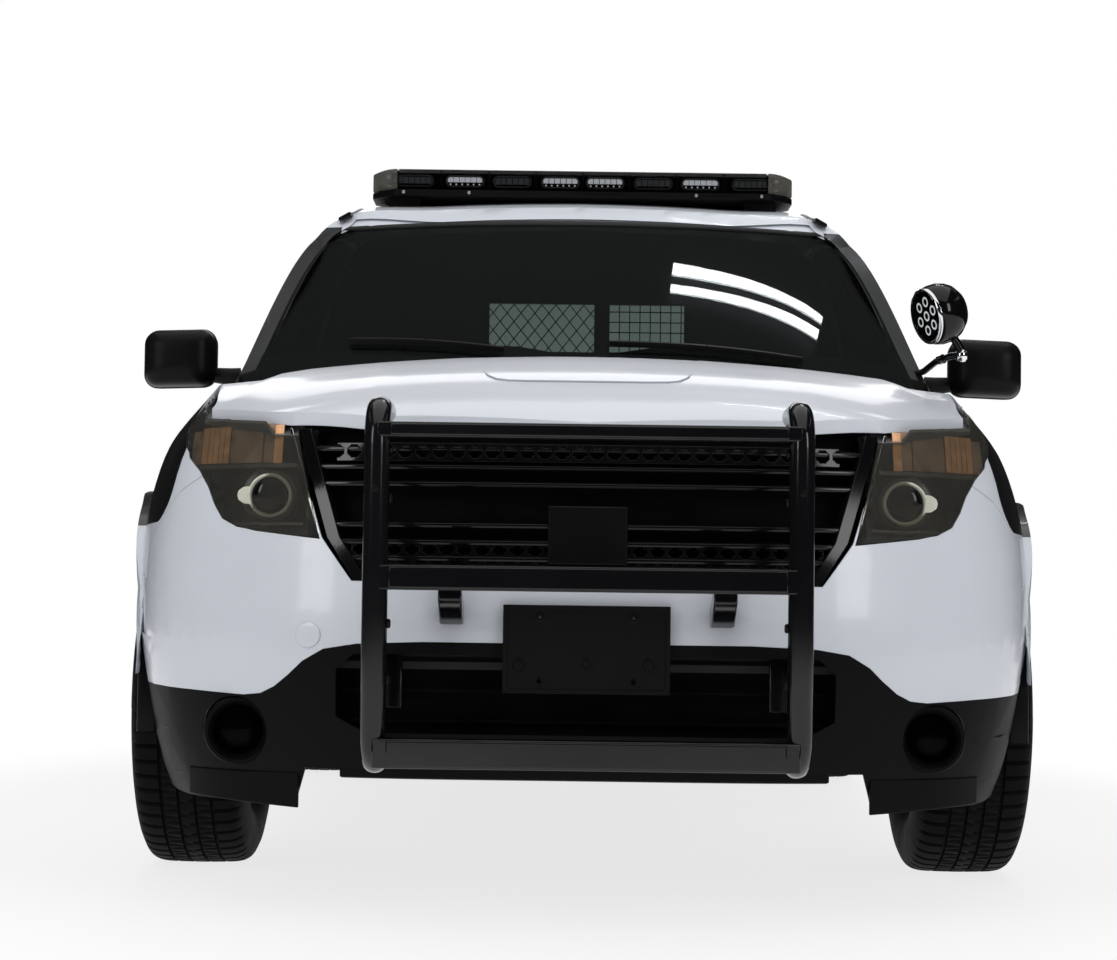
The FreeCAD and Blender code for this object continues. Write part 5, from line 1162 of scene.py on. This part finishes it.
for turn, reach in [(t, 36.0) for t in turns(6)] + [(0.0, 0.0)]:
    centre = SPOT_FACE + (across * math.cos(turn) + upright * math.sin(turn)) * reach
    spot_dies.lathe([(-6, 13), (-1, 13), (0, 10), (-3, 4), (-3, 0.5)], centre, SPOT_AXIS, 16)
spot_arm.tube([(838, 640, 1188), (868, 600, 1196), (884, 500, 1212), (912, 452, 1221), (936, 444, 1223)], 8.5, 12)
spot_arm.tube([(938, 443, 1222), (934, 442, 1240), (920, 441, 1262), (905, 440, 1285)], 10.5)
spot_joint.lathe([(-15, 6), (-13, 12), (-6, 15.5), (6, 15.5), (13, 12), (15, 6)], (938, 443, 1222), (0.3, 0, 1), 24)
spot_joint.lathe([(-8, 8), (-8, 12), (8, 12), (8, 8)], (893, 478, 1215), (0.5, -0.85, 0.15), 20, True)
for name, shape, material, slot, sharp in (
        ("body", spot_body, gloss_black, "gloss_black", 50), ("ring", spot_ring, chrome, "gloss_black", 50),
        ("bowl", spot_bowl, dark_plastic, "gloss_black", 35), ("dies", spot_dies, led_white, "gloss_black", 35),
        ("lens", spot_lens, lens_clear, "lamp", 35), ("arm", spot_arm, gloss_black, "gloss_black", 50),
        ("joint", spot_joint, chrome, "gloss_black", 50)):
    shape.piece("spotlight_" + name, material, slot, sharp=sharp, replaces=("spotlight",) if name == "body" else ())


# ---------------------------------------------------------------- wheels: treaded tyres, steel rims, nuts and caps
TYRE_PROFILE = [(70, -1.5, 1), (76, -2.0, 1), (84, -3.0, 1), (92, -4.8, 1), (99, -8.0, 1), (105, -12, 0.7),
                (110, -18, 0.3), (114, -26, 0), (118, -35, 0), (120.5, -46, 0), (122, -58, 0), (122.5, -72, 0),
                (121.5, -86, 0), (119, -99, 0), (115, -110, 0), (111, -118, 0), (107, -124, 0), (104, -129, 0),
                (101, -133, 0)]
GROOVES = ((18.0, 7.0), (54.0, 8.0))     # middle and width of the grooves round the tread
TREAD_STEPS, TREAD_DEPTH, BLOCKS = 384, 8.0, 64
BEAD_X, BEAD_R = 96, 231


def tyre_section():
    """Distances across the tyre, radii below the tread and tread shares, from one bead to the other."""
    across = sorted({0.0, 9.0, 63.5} | {m + k * w / 2 + j for m, w in GROOVES
                                        for k, j in ((-1, 0), (-1, 1.2), (1, -1.2), (1, 0))})
    half = [(x, -0.0003 * x * x, 1) for x in across if x < 69] + TYRE_PROFILE
    return [(-x, r, t) for x, r, t in half[:0:-1]] + half


def tread_cut(x, k):
    """Depth of the tread's pattern at distance x across and step k round the tyre."""
    a = abs(x)
    for m, w in GROOVES:
        if m - w / 2 + 0.6 <= a <= m + w / 2 - 0.6:
            return TREAD_DEPTH
    phase = k % (TREAD_STEPS // BLOCKS)
    if a < GROOVES[0][0]:
        return 5.0 if (phase + (x > 0)) % 6 == 0 and a > 5 else 0.0
    if a < GROOVES[1][0]:
        shift = int(a / 9) + (3 if x > 0 else 0)
        return 5.5 if (phase + shift) % 6 == 0 else 0.0
    return 6.5 if (phase + (2 if x > 0 else 5)) % 6 < 1 else 0.0


def tyre_rings():
    section, rings = tyre_section(), []
    for k in range(TREAD_STEPS):
        t = 2 * math.pi * k / TREAD_STEPS
        ring = [(x + math.copysign(1.1, x) * (50 < -drop < 80) * (k % 96 < 66),
                 TYRE_R + drop - tread_cut(x, k) * share) for x, drop, share in section]
        rings.append([(x, r * math.cos(t), r * math.sin(t)) for x, r in ring + [(BEAD_X, BEAD_R), (-BEAD_X, BEAD_R)]])
    return rings


def rim_dish(r):
    """How far out the wheel's disc stands at radius r: hub, bowl, crown and the seat in the barrel."""
    return float(np.interp(r, (0, 45, 62, 78, 96, 120, 150, 172, 188, 200), (52, 52, 50, 56, 66, 72, 71, 64, 52, 44)))


def rim_sector(turn, n=12, layers=7, hole=(138.0, 36.0, 41.0)):
    """A fifth of the disc round its rounded opening: rings from the opening out to the sector's border."""
    middle, half_r, half_w = hole
    inner_r, outer_r, wide = 60.0, 198.0, math.radians(36)
    border, mouth = [], []
    for side in range(4):
        for i in range(n):
            t = i / n
            r, a = ((outer_r, wide * (1 - 2 * t)), (outer_r + (inner_r - outer_r) * t, -wide),
                    (inner_r, wide * (2 * t - 1)), (inner_r + (outer_r - inner_r) * t, wide))[side]
            border.append((r, a))
            q = math.radians(45 - 90 * side - 90 * t)
            c, w = math.cos(q), math.sin(q)
            mouth.append((middle + half_r * c, half_w * w * (1 + 0.18 * c) / middle))
    rings = []
    for j in range(layers + 1):
        f = (j / layers) ** 1.4
        lift = 5.0 * math.exp(-((j / layers) / 0.14) ** 2)
        rings.append([(mr + (br - mr) * f, ma + (ba - ma) * f + turn, lift)
                      for (mr, ma), (br, ba) in zip(mouth, border)])
    return rings


CENTRE, OUTWARD = (0, 0, 0), (1, 0, 0)


def rim_shapes():
    disc, barrel, nuts, cap, valve = shapes(5)
    for k in range(5):
        outer = [[(rim_dish(r) + lift, r * math.sin(a), r * math.cos(a)) for r, a, lift in ring]
                 for ring in rim_sector(2 * math.pi * (k + 0.5) / 5)]
        under = [[(x - 7, y, z) for x, y, z in ring] for ring in outer]
        brow = [((p[0] + q[0]) / 2 + 0.5, p[1], p[2]) for p, q in zip(outer[0], under[0])]
        disc.rings(outer[::-1] + [brow] + under, caps=False)
        t = 2 * math.pi * k / 5
        stud = (0, 57.2 * math.sin(t), 57.2 * math.cos(t))
        nuts.lathe([(48, 10.5), (50, 12.5), (53, 12.2), (66, 11), (71, 9), (73, 5), (73.5, 0.5)], stud, OUTWARD, 6)
        nuts.lathe([(47, 15), (51, 15), (52, 13)], stud, OUTWARD, 20)
    disc.lathe([(rim_dish(62), 62), (50, 58), (51.5, 44), (50, 36), (40, 34), (34, 40), (34, 62)], CENTRE, OUTWARD, 60,
               True)
    barrel.lathe([(44, 200), (52, 199), (60, 203), (84, 206), (96, 212), (104, 220), (108, 221.5), (110.5, 225),
                  (109, 230), (104, 231), (100, 228), (94, 214), (60, 208), (-60, 196), (-92, 206), (-100, 226),
                  (-108, 229), (-110, 225), (-107, 219), (-98, 208), (-86, 200), (-60, 188), (20, 190), (40, 194)],
                 CENTRE, OUTWARD, 96, True)
    cap.lathe([(44, 37), (54, 37), (64, 35.5), (71, 32), (75, 26), (77, 18), (77.5, 10), (77, 0.5)], CENTRE, OUTWARD)
    valve.tube([(84, 0, -204), (94, 0, -198), (104, 0, -190)], [3.4, 3.4, 2.6], 8)
    return disc, barrel, nuts, cap, valve


TYRE_RINGS = tyre_rings()
for end, s_axle in (("front", 0.0), ("rear", WHEELBASE)):
    for side, sign in (("left", 1), ("right", -1)):
        tag = f"{end}_{side}"
        body = NODES["rim_" + tag]["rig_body"]
        made = tyre, disc, barrel, nuts, cap, valve = Shape().rings(TYRE_RINGS, closed=True), *rim_shapes()
        for shape in made:
            shape.points = [P(sign * (TRACK / 2 + p.x / MM), s_axle + sign * (p.y / MM - AXLE_Y), TYRE_R + p.z / MM)
                            for p in shape.points]
        tyre.piece("tyre_treaded_" + tag, rubber, "tyre", body, sharp=28, replaces=("tyre_" + tag,))
        disc.piece("rim_disc_" + tag, rim_black, "rim_paint", body, sharp=50)
        barrel.piece("rim_barrel_" + tag, rim_black, "rim_paint", body, sharp=45, replaces=("rim_" + tag,))
        nuts.piece("wheel_nuts_" + tag, steel, "steel", body, sharp=30, bevel=0.5)
        cap.piece("wheel_cap_" + tag, hub_chrome, "steel", body, sharp=60)
        valve.piece("valve_" + tag, seal_rubber, "tyre", body)


# ---------------------------------------------------------------- sides: cladding, seals, handles, arch lips
def both_pieces(make, name, material, slot="black_plastic", door=None, **kw):
    """The same fitting on the left and right sides; it rides with that side's front or rear door, or the body."""
    for side in ("left", "right"):
        shape = make() if side == "left" else make().flipped()
        body = NODES[f"door_{door}_{side}"]["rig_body"] if door else "body"
        shape.piece(f"{name}_{side}", material, slot, body, **kw)


def on_side(s, z, out=0.0):
    """The point that stands out by out from the body side."""
    return side_x(s, z) + out, s, z


def strip(s0, s1, z0, z1, out=7, thick=10.0, n=9):
    """A plate that follows the body side, standing out by out."""
    zs = [z0, z0 + (z1 - z0) * 0.12, (z0 + z1) / 2, z1 - (z1 - z0) * 0.12, z1]
    return Shape().plate(np.linspace(s0, s1, n), zs, lambda s, z, back: on_side(s, z, out - back * thick))


for door, s0, s1 in (("front", 592, 1598), ("rear", 1620, 2352)):
    both_pieces(lambda: strip(s0, s1, 344, 416), "door_cladding_" + door, textured_black, door=door, bevel=3)
both_pieces(lambda: strip(480, 2340, 262, 322, 6, 12, 21), "sill_moulding", textured_black, bevel=3)


def belt(*points):
    """A seal along a window's lower edge, following the side."""
    rings = []
    for s in np.linspace(points[0][0], points[-1][0], 24):
        z = float(np.interp(s, *zip(*points)))
        x = side_x(s, z)
        rings.append([(x + dx, s, z + dz) for dx, dz in ((-8, -13), (3, -13), (5, -4), (2, 3), (-8, 3))])
    return Shape().rings(rings)


both_pieces(lambda: belt((700, 1164), (1100, 1170), (1596, 1178)), "belt_seal_front", seal_rubber, door="front")
both_pieces(lambda: belt((1624, 1180), (2100, 1192), (2560, 1208)), "belt_seal_rear", seal_rubber, door="rear")
HANDLE_Z, HANDLE_LENGTH = 932, 205


def handle(s):
    """A pull handle on its two feet, with a lock cylinder behind it."""
    rings = []
    for t in np.linspace(0, 1, 13):
        w = 13 - 3 * abs(2 * t - 1) ** 3
        x, at, z = on_side(s + HANDLE_LENGTH * t, HANDLE_Z, 34 * math.sin(math.pi * t) ** 0.45 - 2)
        rings.append([(x + 8 * math.sin(q), at, z + 8 * t + w * math.cos(q)) for q in turns(14)])
    x, at, z = on_side(s + 232, HANDLE_Z)
    return Shape().rings(rings).lathe([(-4, 15), (4, 14), (7, 10), (7, 0.5)], (x, at, z + 9), OUTWARD, 24)


def side_badge(s, z, outline, levels):
    """A plate on the side: its outline scaled by each level's share and standing out by its height."""
    return Shape().rings([[on_side(s + u * k, z + v * k, d) for u, v in outline] for k, d in levels])


CUP = [(102 * math.cos(q), 27 * math.sin(q)) for q in turns(36)]
CUP_LEVELS = ((1.0, 0.2), (1.0, 1.8), (0.94, 2.2), (0.86, 0.8), (0.5, 0.5))
for end, s in (("front", 1345), ("rear", 2228)):
    both_pieces(lambda: handle(s), "handle_" + end, satin_black, "gloss_black", end, sharp=60)
    both_pieces(lambda: side_badge(s + 100, HANDLE_Z + 2, CUP, CUP_LEVELS), "handle_cup_" + end, satin_black,
                "gloss_black", end, sharp=60)


def arch_lip(s_axle, x_at, a0):
    rings = []
    for q in np.radians(np.linspace(a0, 186, 61)):
        c, w = math.cos(q), math.sin(q)
        s, z = s_axle + ARCH_LIP_R * c, TYRE_R + ARCH_LIP_R * w
        rings.append([(x_at(s) + dx, s + dr * c, z + dr * w) for dx, dr in
                      ((-34, 0), (2, 0), (3.5, 5), (2, 11), (-3, 12), (-34, 6))])
    return Shape().rings(rings)


ARCH_LIP_R = 428.5
LIP_S, LIP_X = (-700, -440, -330, -200, -40, 80, 700), (900, 934, 952, 968, 992, 1002, 1002)
both_pieces(lambda: arch_lip(0.0, lambda s: float(np.interp(s, LIP_S, LIP_X)), 8), "arch_lip_front", satin_black)
both_pieces(lambda: arch_lip(WHEELBASE, lambda s: 1002.0, 12), "arch_lip_rear", satin_black)

FUEL_S, FUEL_Z, FUEL_RING = 3360, 1012, round_rect(88, 84, 26)
FUEL_LEVELS = ((1.0, -6), (1.0, 3.5), (0.975, 5.0), (0.93, 5.2), (0.4, 5.2), (0.02, 5.2))
side_badge(FUEL_S, FUEL_Z, FUEL_RING, FUEL_LEVELS).piece("fuel_door", side_paint, "paint", sharp=50)
fuel_gap = Shape().tube([on_side(FUEL_S + u * 1.02, FUEL_Z + v * 1.02, 1.5) for u, v in FUEL_RING], 1.8, 6, closed=True)
fuel_gap.piece("fuel_door_gap", seal_rubber)
both_pieces(lambda: side_badge(492, 905, round_rect(46, 13, 9), ((1.0, -3), (1.0, 2), (0.9, 3.6), (0.3, 4))),
            "side_repeater", amber, "lamp", sharp=50)

# ---------------------------------------------------------------- rear: gate fittings, lamps, bumper
GATE_BODY = NODES["liftgate"]["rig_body"]
TAIL_Z, TAIL_S = (240, 720, 1030, 1175, 1612, 1652, 1720), (3930, 3965, 3952, 3905, 3775, 3835, 3835)


def tail_s(z):
    """Station of the tail's face at height z."""
    return float(np.interp(z, TAIL_Z, TAIL_S))


def tail_plate(x0, x1, z0, z1, r, out, thick, sink=0.0):
    """A rounded plate on the tail's face with a softened edge, standing out by out."""
    cx, cz = (x0 + x1) / 2, (z0 + z1) / 2
    return Shape().rings([[(cx + a * k, tail_s(cz + b * k) + step, cz + b * k)
                           for a, b in round_rect((x1 - x0) / 2, (z1 - z0) / 2, r)] for k, step in
                          ((1.0, -thick), (1.0, out - 1.2), (0.985, out), (0.9, out - sink), (0.02, out - sink))])


def behind_tail(x, z, out):
    return x, tail_s(z) + out, z


for name, place, material, sharp in (("gate_applique", (-345, 345, 962, 1030, 20, 20, 4), gloss_black, 50),
                                     ("plate_recess", (-205, 205, 790, 950, 16, 2.5, 3, 2), satin_black, 50),
                                     ("rear_plate_blank", (-152, 152, 806, 938, 8, 5.5, 1), led_dull, 35)):
    tail_plate(*place).piece(name, material, body=GATE_BODY, sharp=sharp)
plate_lamps, stop, wiper_r, glass_edge, ribs, step_pad, reflectors, sensors = shapes(8)
for x in (-95, 95):
    plate_lamps.box(x - 24, x + 24, tail_s(958) + 6, tail_s(958) + 17, 954, 962)
plate_lamps.piece("plate_lamps", lens_haze, "lamp", GATE_BODY, bevel=1.5)
stop.rings([[(x, s, z) for s, z in ((3832, 1662), (3842, 1664), (3843, 1684), (3832, 1690))]
            for x in np.linspace(-210, 210, 9)])
stop.piece("high_stop_lamp", lamp_red, "lamp_red", GATE_BODY, bevel=2)
sw = tail_s(1240)
wiper_r.lathe([(-6, 22), (12, 20), (18, 14), (19, 0.5)], (0, sw, 1212), (0, 1, 0.3), 24)
wiper_r.tube([(0, sw + 22, 1214), (90, sw + 26, 1226), (210, sw + 16, 1250)], [9, 7, 5], 10)
wiper_r.tube([behind_tail(x, z, 9) for x, z in ((30, 1238), (200, 1252), (360, 1272))], [5, 6, 5], 6)
wiper_r.piece("rear_wiper", satin_black, body=GATE_BODY, sharp=50)
glass_edge.tube([behind_tail(x, z, 1.5) for x, z in
                 ((540, 1568), (560, 1500), (600, 1230), (0, 1226), (-600, 1230), (-560, 1500), (-540, 1568),
                  (0, 1570))], 4.5, 8, closed=True)
glass_edge.piece("gate_glass_seal", seal_rubber, body=GATE_BODY)
tail_plate(752, 826, 905, 950, 8, 2.5, 2).mirror().piece("reverse_lamps", lens_haze, "lamp")
for z in (892, 963, 1030, 1075):
    ribs.box(742, 828, tail_s(z) - 2, tail_s(z) + 1.6, z - 1.6, z + 1.6)
ribs.mirror().piece("tail_lamp_ribs", gloss_black, "lamp_red")
for x in range(-520, 521, 26):
    step_pad.box(x - 9, x + 9, bumper_s(x, 700) - 78, bumper_s(x, 700) - 14, 700, 704)
step_pad.piece("bumper_step_ribs", textured_black, bevel=1)
reflectors.rings([[(x, bumper_s(x, z) + d, z) for z, d in
                   ((556, -3), (556, 3), (560, 5), (586, 5), (590, 3), (590, -3))] for x in np.linspace(640, 770, 9)])
reflectors.mirror().piece("rear_reflectors", lamp_red, "lamp_red")
for x in (-560, -200, 200, 560):
    sensors.lathe([(-4, 13), (2, 13), (3.5, 10), (3, 0.5)], (x, bumper_s(x, 560), 560), ALONG, 24)
sensors.piece("rear_sensors", satin_black)


# ---------------------------------------------------------------- inside: seats, partition
def cushion(line, w, thick, x, sections=14, n=24):
    """A pillow through superellipse sections along a line of (s, z), full in the middle, tucked in at both ends."""
    line = np.array(line, float)
    at, rings = np.linspace(0, 1, len(line)), []
    for t in np.linspace(0, 1, sections):
        s, z = (float(np.interp(t, at, line[:, i])) for i in (0, 1))
        k = int(t * (len(line) - 1))
        a, b = line[min(k, len(line) - 2)], line[min(k + 1, len(line) - 1)]
        run = (b - a) / np.linalg.norm(b - a)
        full = (1 - abs(2 * t - 1) ** 5) ** 0.5 * 0.9 + 0.1
        wide, ds, dz = w * (0.55 + 0.45 * full), -run[1] * thick * full, run[0] * thick * full
        ring = []
        for q in turns(n):
            c, d = math.cos(q), math.sin(q)
            c, d = math.copysign(abs(c) ** 0.45, c), math.copysign(abs(d) ** 0.7, d)
            ring.append((x + wide * c, s + ds * d, z + dz * d))
        rings.append(ring)
    return Shape().rings(rings)


def padded(shape, name, material, replaces=()):
    o = shape.piece(name, material, "seat", sharp=80, sub=1, replaces=replaces)


for side, sign in (("right", -1), ("left", 1)):
    x = 400 * sign
    pads = {
        "cushion": cushion([(1005, 520), (1120, 545), (1300, 540), (1480, 525)], 240, 62, x),
        "back": cushion([(1500, 560), (1570, 760), (1630, 990), (1665, 1180)], 235, 66, x),
        "restraint": cushion([(1668, 1225), (1685, 1290), (1695, 1375)], 125, 42, x, 10),
    }
    for name, dx in (("bolster_in", -205), ("bolster_out", 205)):
        pads[name] = cushion([(1495, 570), (1545, 760), (1600, 980), (1632, 1120)], 42, 50, x + dx, 12)
    for key, shape in pads.items():
        padded(shape, f"seat_{key}_{side}", seat_cloth,
               ("front_seats",) if (key, side) == ("cushion", "left") else ())
padded(cushion([(2165, 540), (2300, 560), (2400, 550), (2500, 520)], 600, 58, 0, n=48), "rear_bench_cushion",
       dash_plastic, ("rear_seat",))
padded(cushion([(2440, 600), (2500, 830), (2560, 1000), (2590, 1130)], 600, 52, 0, n=48), "rear_bench_back",
       dash_plastic)
seat_frames, grid, panes, screen, bench_base = shapes(5)
bench_base.prism_x([(2190, 345), (2180, 520), (2470, 500), (2570, 1120), (2640, 1120), (2560, 700), (2470, 600),
                    (2470, 345)], -600, 600)
bench_base.piece("rear_bench_base", dark_plastic, "seat", bevel=5)
for x in (-400, 400):
    seat_frames.box(x - 190, x + 190, 1090, 1520, 345, 470)
    seat_frames.prism_x([(1040, 470), (1480, 460), (1500, 500), (1040, 500)], x - 215, x + 215)
    seat_frames.prism_x([(1500, 480), (1580, 480), (1730, 1130), (1700, 1150), (1640, 1000)], x - 200, x + 200)
    for a in (-52, 52):
        seat_frames.tube([(x + a, 1690, 1140), (x + a, 1694, 1260)], 6, 8)
seat_frames.piece("seat_frames", dark_plastic, "seat", bevel=4)

LOW, HIGH, MESH_S, FRAME = 1345, 1490, 1740, 12      # heights of the partition's two windows, station, frame width
DIAMONDS, SQUARES = (-274, 42), (87, 313)
SQUARE, DIAMOND, RISE = 31.0, 42.0, 26.0             # pitches of the two meshes
for x in np.arange(*SQUARES, SQUARE):
    grid.tube([(x, MESH_S, LOW), (x, MESH_S, HIGH)], 2.2, 4)
for z in np.arange(LOW, HIGH, SQUARE):
    grid.tube([(x, MESH_S - 2, z) for x in SQUARES], 2.2, 4)
for k in range(-8, 16):
    for lean, (x0, x1) in ((-1, DIAMONDS[::-1]), (1, DIAMONDS)):
        a = x0 + lean * k * DIAMOND
        span = (HIGH - LOW) * DIAMOND / RISE / 2 * lean
        t0, t1 = (max(0.0, min(1.0, (x - a) / span)) for x in (x0, x1))
        if t1 - t0 > 0.02:
            grid.tube([(a + span * t, MESH_S + lean, LOW + (HIGH - LOW) * t) for t in (t0, t1)], 2.0, 4)
for x0, x1 in (DIAMONDS, SQUARES):
    panes.box(x0, x1, 1746, 1750, LOW, HIGH)
    for a, b, c, d in ((x0 - FRAME, x1 + FRAME, HIGH, HIGH + 14), (x0 - FRAME, x1 + FRAME, LOW - 14, LOW),
                       (x0 - FRAME, x0, LOW - 14, HIGH + 14), (x1, x1 + FRAME, LOW - 14, HIGH + 14)):
        grid.box(a, b, 1728, 1752, c, d)
for x0, x1, z0, z1 in ((-694, 694, 1176, LOW), (-694, 694, HIGH, 1564), (-694, DIAMONDS[0], LOW, HIGH),
                       (DIAMONDS[1], SQUARES[0], LOW, HIGH), (SQUARES[1], 694, LOW, HIGH)):
    screen.box(x0, x1, 1747, 1760, z0, z1)
screen.piece("partition_screen", satin_black, "frame_metal")
grid.piece("partition_mesh", satin_black, "frame_metal")
# the panes' glow is painted light, standing in for daylight from behind the partition
panes.piece("partition_panes", pane_painted_backlight, "glass", bevel=1)


# ---------------------------------------------------------------- floor, background and lights
def level(x0, x1, y0, y1, z):
    return [(x0, y0, z), (x1, y0, z), (x1, y1, z), (x0, y1, z)]


def stage_card(name, corners, material):
    mesh = bpy.data.meshes.new(name)
    mesh.from_pydata(corners, [], [(0, 1, 2, 3)])
    mesh.materials.append(material)
    o = bpy.data.objects.new(name, mesh)
    SCENE.collection.objects.link(o)
    return o


FLOOR_GLOW = 0.78            # share of plain white in the floor near the vehicle
SHADOW_X, SHADOW_Y = 2.4, 4.2    # half-axes of the oval outside which the floor is plain white


def floor_finish():
    """White floor that keeps the shadow near the vehicle and fades into the white background."""
    m, g, b = blank("floor_white")
    g.put(b, {"Base Color": (0.93, 0.93, 0.94, 1), "Roughness": 0.5})
    oval = g.add("VectorMath", {0: g.add("NewGeometry", {}, "Position"), 1: (1 / SHADOW_X, 1 / SHADOW_Y, 0)},
                 operation="MULTIPLY")
    away = g.add("VectorMath", {0: oval}, "Value", operation="LENGTH")
    fade = g.add("MapRange", {"Value": away, "From Min": 0.62, "From Max": 1.0}, "Result",
                 interpolation_type="SMOOTHSTEP")
    share = g.add("MapRange", {"Value": fade, "To Min": FLOOR_GLOW}, "Result")
    glow = g.add("Emission", {"Strength": 1.0})
    g.surface(g.mix(g.every(share, g.seen_rays()), b.outputs[0], glow))
    return m


FLOOR = 40.0
stage_card("floor", level(-FLOOR, FLOOR, -FLOOR, FLOOR, 0), floor_finish())

WORLD_LIGHT = 0.5            # of the white background, where only surfaces see it
world = bpy.data.worlds.new("studio")
SCENE.world = world
world.use_nodes = True
graph, back = Graph(world.node_tree), world.node_tree.nodes["Background"]
graph.put(back, {"Color": (1, 1, 1, 1), "Strength": WORLD_LIGHT})
plain = graph.add("Background", {"Color": (1, 1, 1, 1), "Strength": 1.0})
graph.surface(graph.mix(graph.seen_rays(), back.outputs[0], plain), "World Output")


def flag(name, corners, glow=0.0):
    """A card that only reflections see, black or glowing."""
    m, g, b = blank(name)
    g.put(b, {"Base Color": (0.01, 0.01, 0.011, 1), "Roughness": 1.0, "Emission Color": (0.93, 0.97, 1.0, 1),
              "Emission Strength": glow})
    card = stage_card(name, corners, m)
    card.visible_camera = card.visible_diffuse = card.visible_transmission = card.visible_shadow = False


FLAGS, FLAG_R, FLAG_TOP, CEILING = 15, 10.0, 7.9, 8.0
REAR_FLAG, REAR_GLOW = 7, 0.3
for i in range(FLAGS):
    (xa, ya), (xb, yb) = ((FLAG_R * math.sin(a), -FLAG_R * math.cos(a))
                          for a in (math.radians(360 / FLAGS * (i + k)) for k in (0, 1)))
    flag(f"flag_{i}", [(xa, ya, 0.02), (xb, yb, 0.02), (xb, yb, FLAG_TOP), (xa, ya, FLAG_TOP)],
         REAR_GLOW if i == REAR_FLAG else 0.0)
flag("flag_ceiling", level(-9, 9, -10, 12, CEILING))
CARD, TUBES = 7.95, 7.9      # heights of the grey ceiling and the two tube lamps above the windscreen
TUBE_GLOW, TUBE_X = 36.0, (1.03, 2.9)
flag("grey_ceiling", level(-7, 7, 3.0, 6.4, CARD), 0.18)
for i, (a0, a1, b0, b1) in enumerate(((4.535, 4.62, 4.497, 4.529), (4.41, 4.465, 4.411, 4.462))):
    x0, x1 = TUBE_X
    flag(f"tube_lamp_{i}", [(x0, a0, TUBES), (x1, b0, TUBES), (x1, b1, TUBES), (x0, a1, TUBES)], TUBE_GLOW)


def area_light(name, place, aim, size, watts):
    data = bpy.data.lights.new(name, "AREA")
    data.shape = "RECTANGLE"
    data.size, data.size_y = size
    data.energy = watts
    o = bpy.data.objects.new(name, data)
    place, aim = Vector(place), Vector(aim)
    o.matrix_world = Matrix.Translation(place) @ (aim - place).to_track_quat("-Z", "Y").to_matrix().to_4x4()
    SCENE.collection.objects.link(o)


area_light("top", (0, -2.2, 6.0), (0, -2.2, 0), (7.0, 8.6), 195)
for side, x in (("left", 4.5), ("right", -4.5)):
    area_light("front_" + side, (x, -7.0, 3.5), (0, -1.0, 0.8), (1.2, 3.4), 72)
area_light("back", (0, 7.0, 4.0), (0, 1.0, 0.8), (5.0, 3.0), 90)
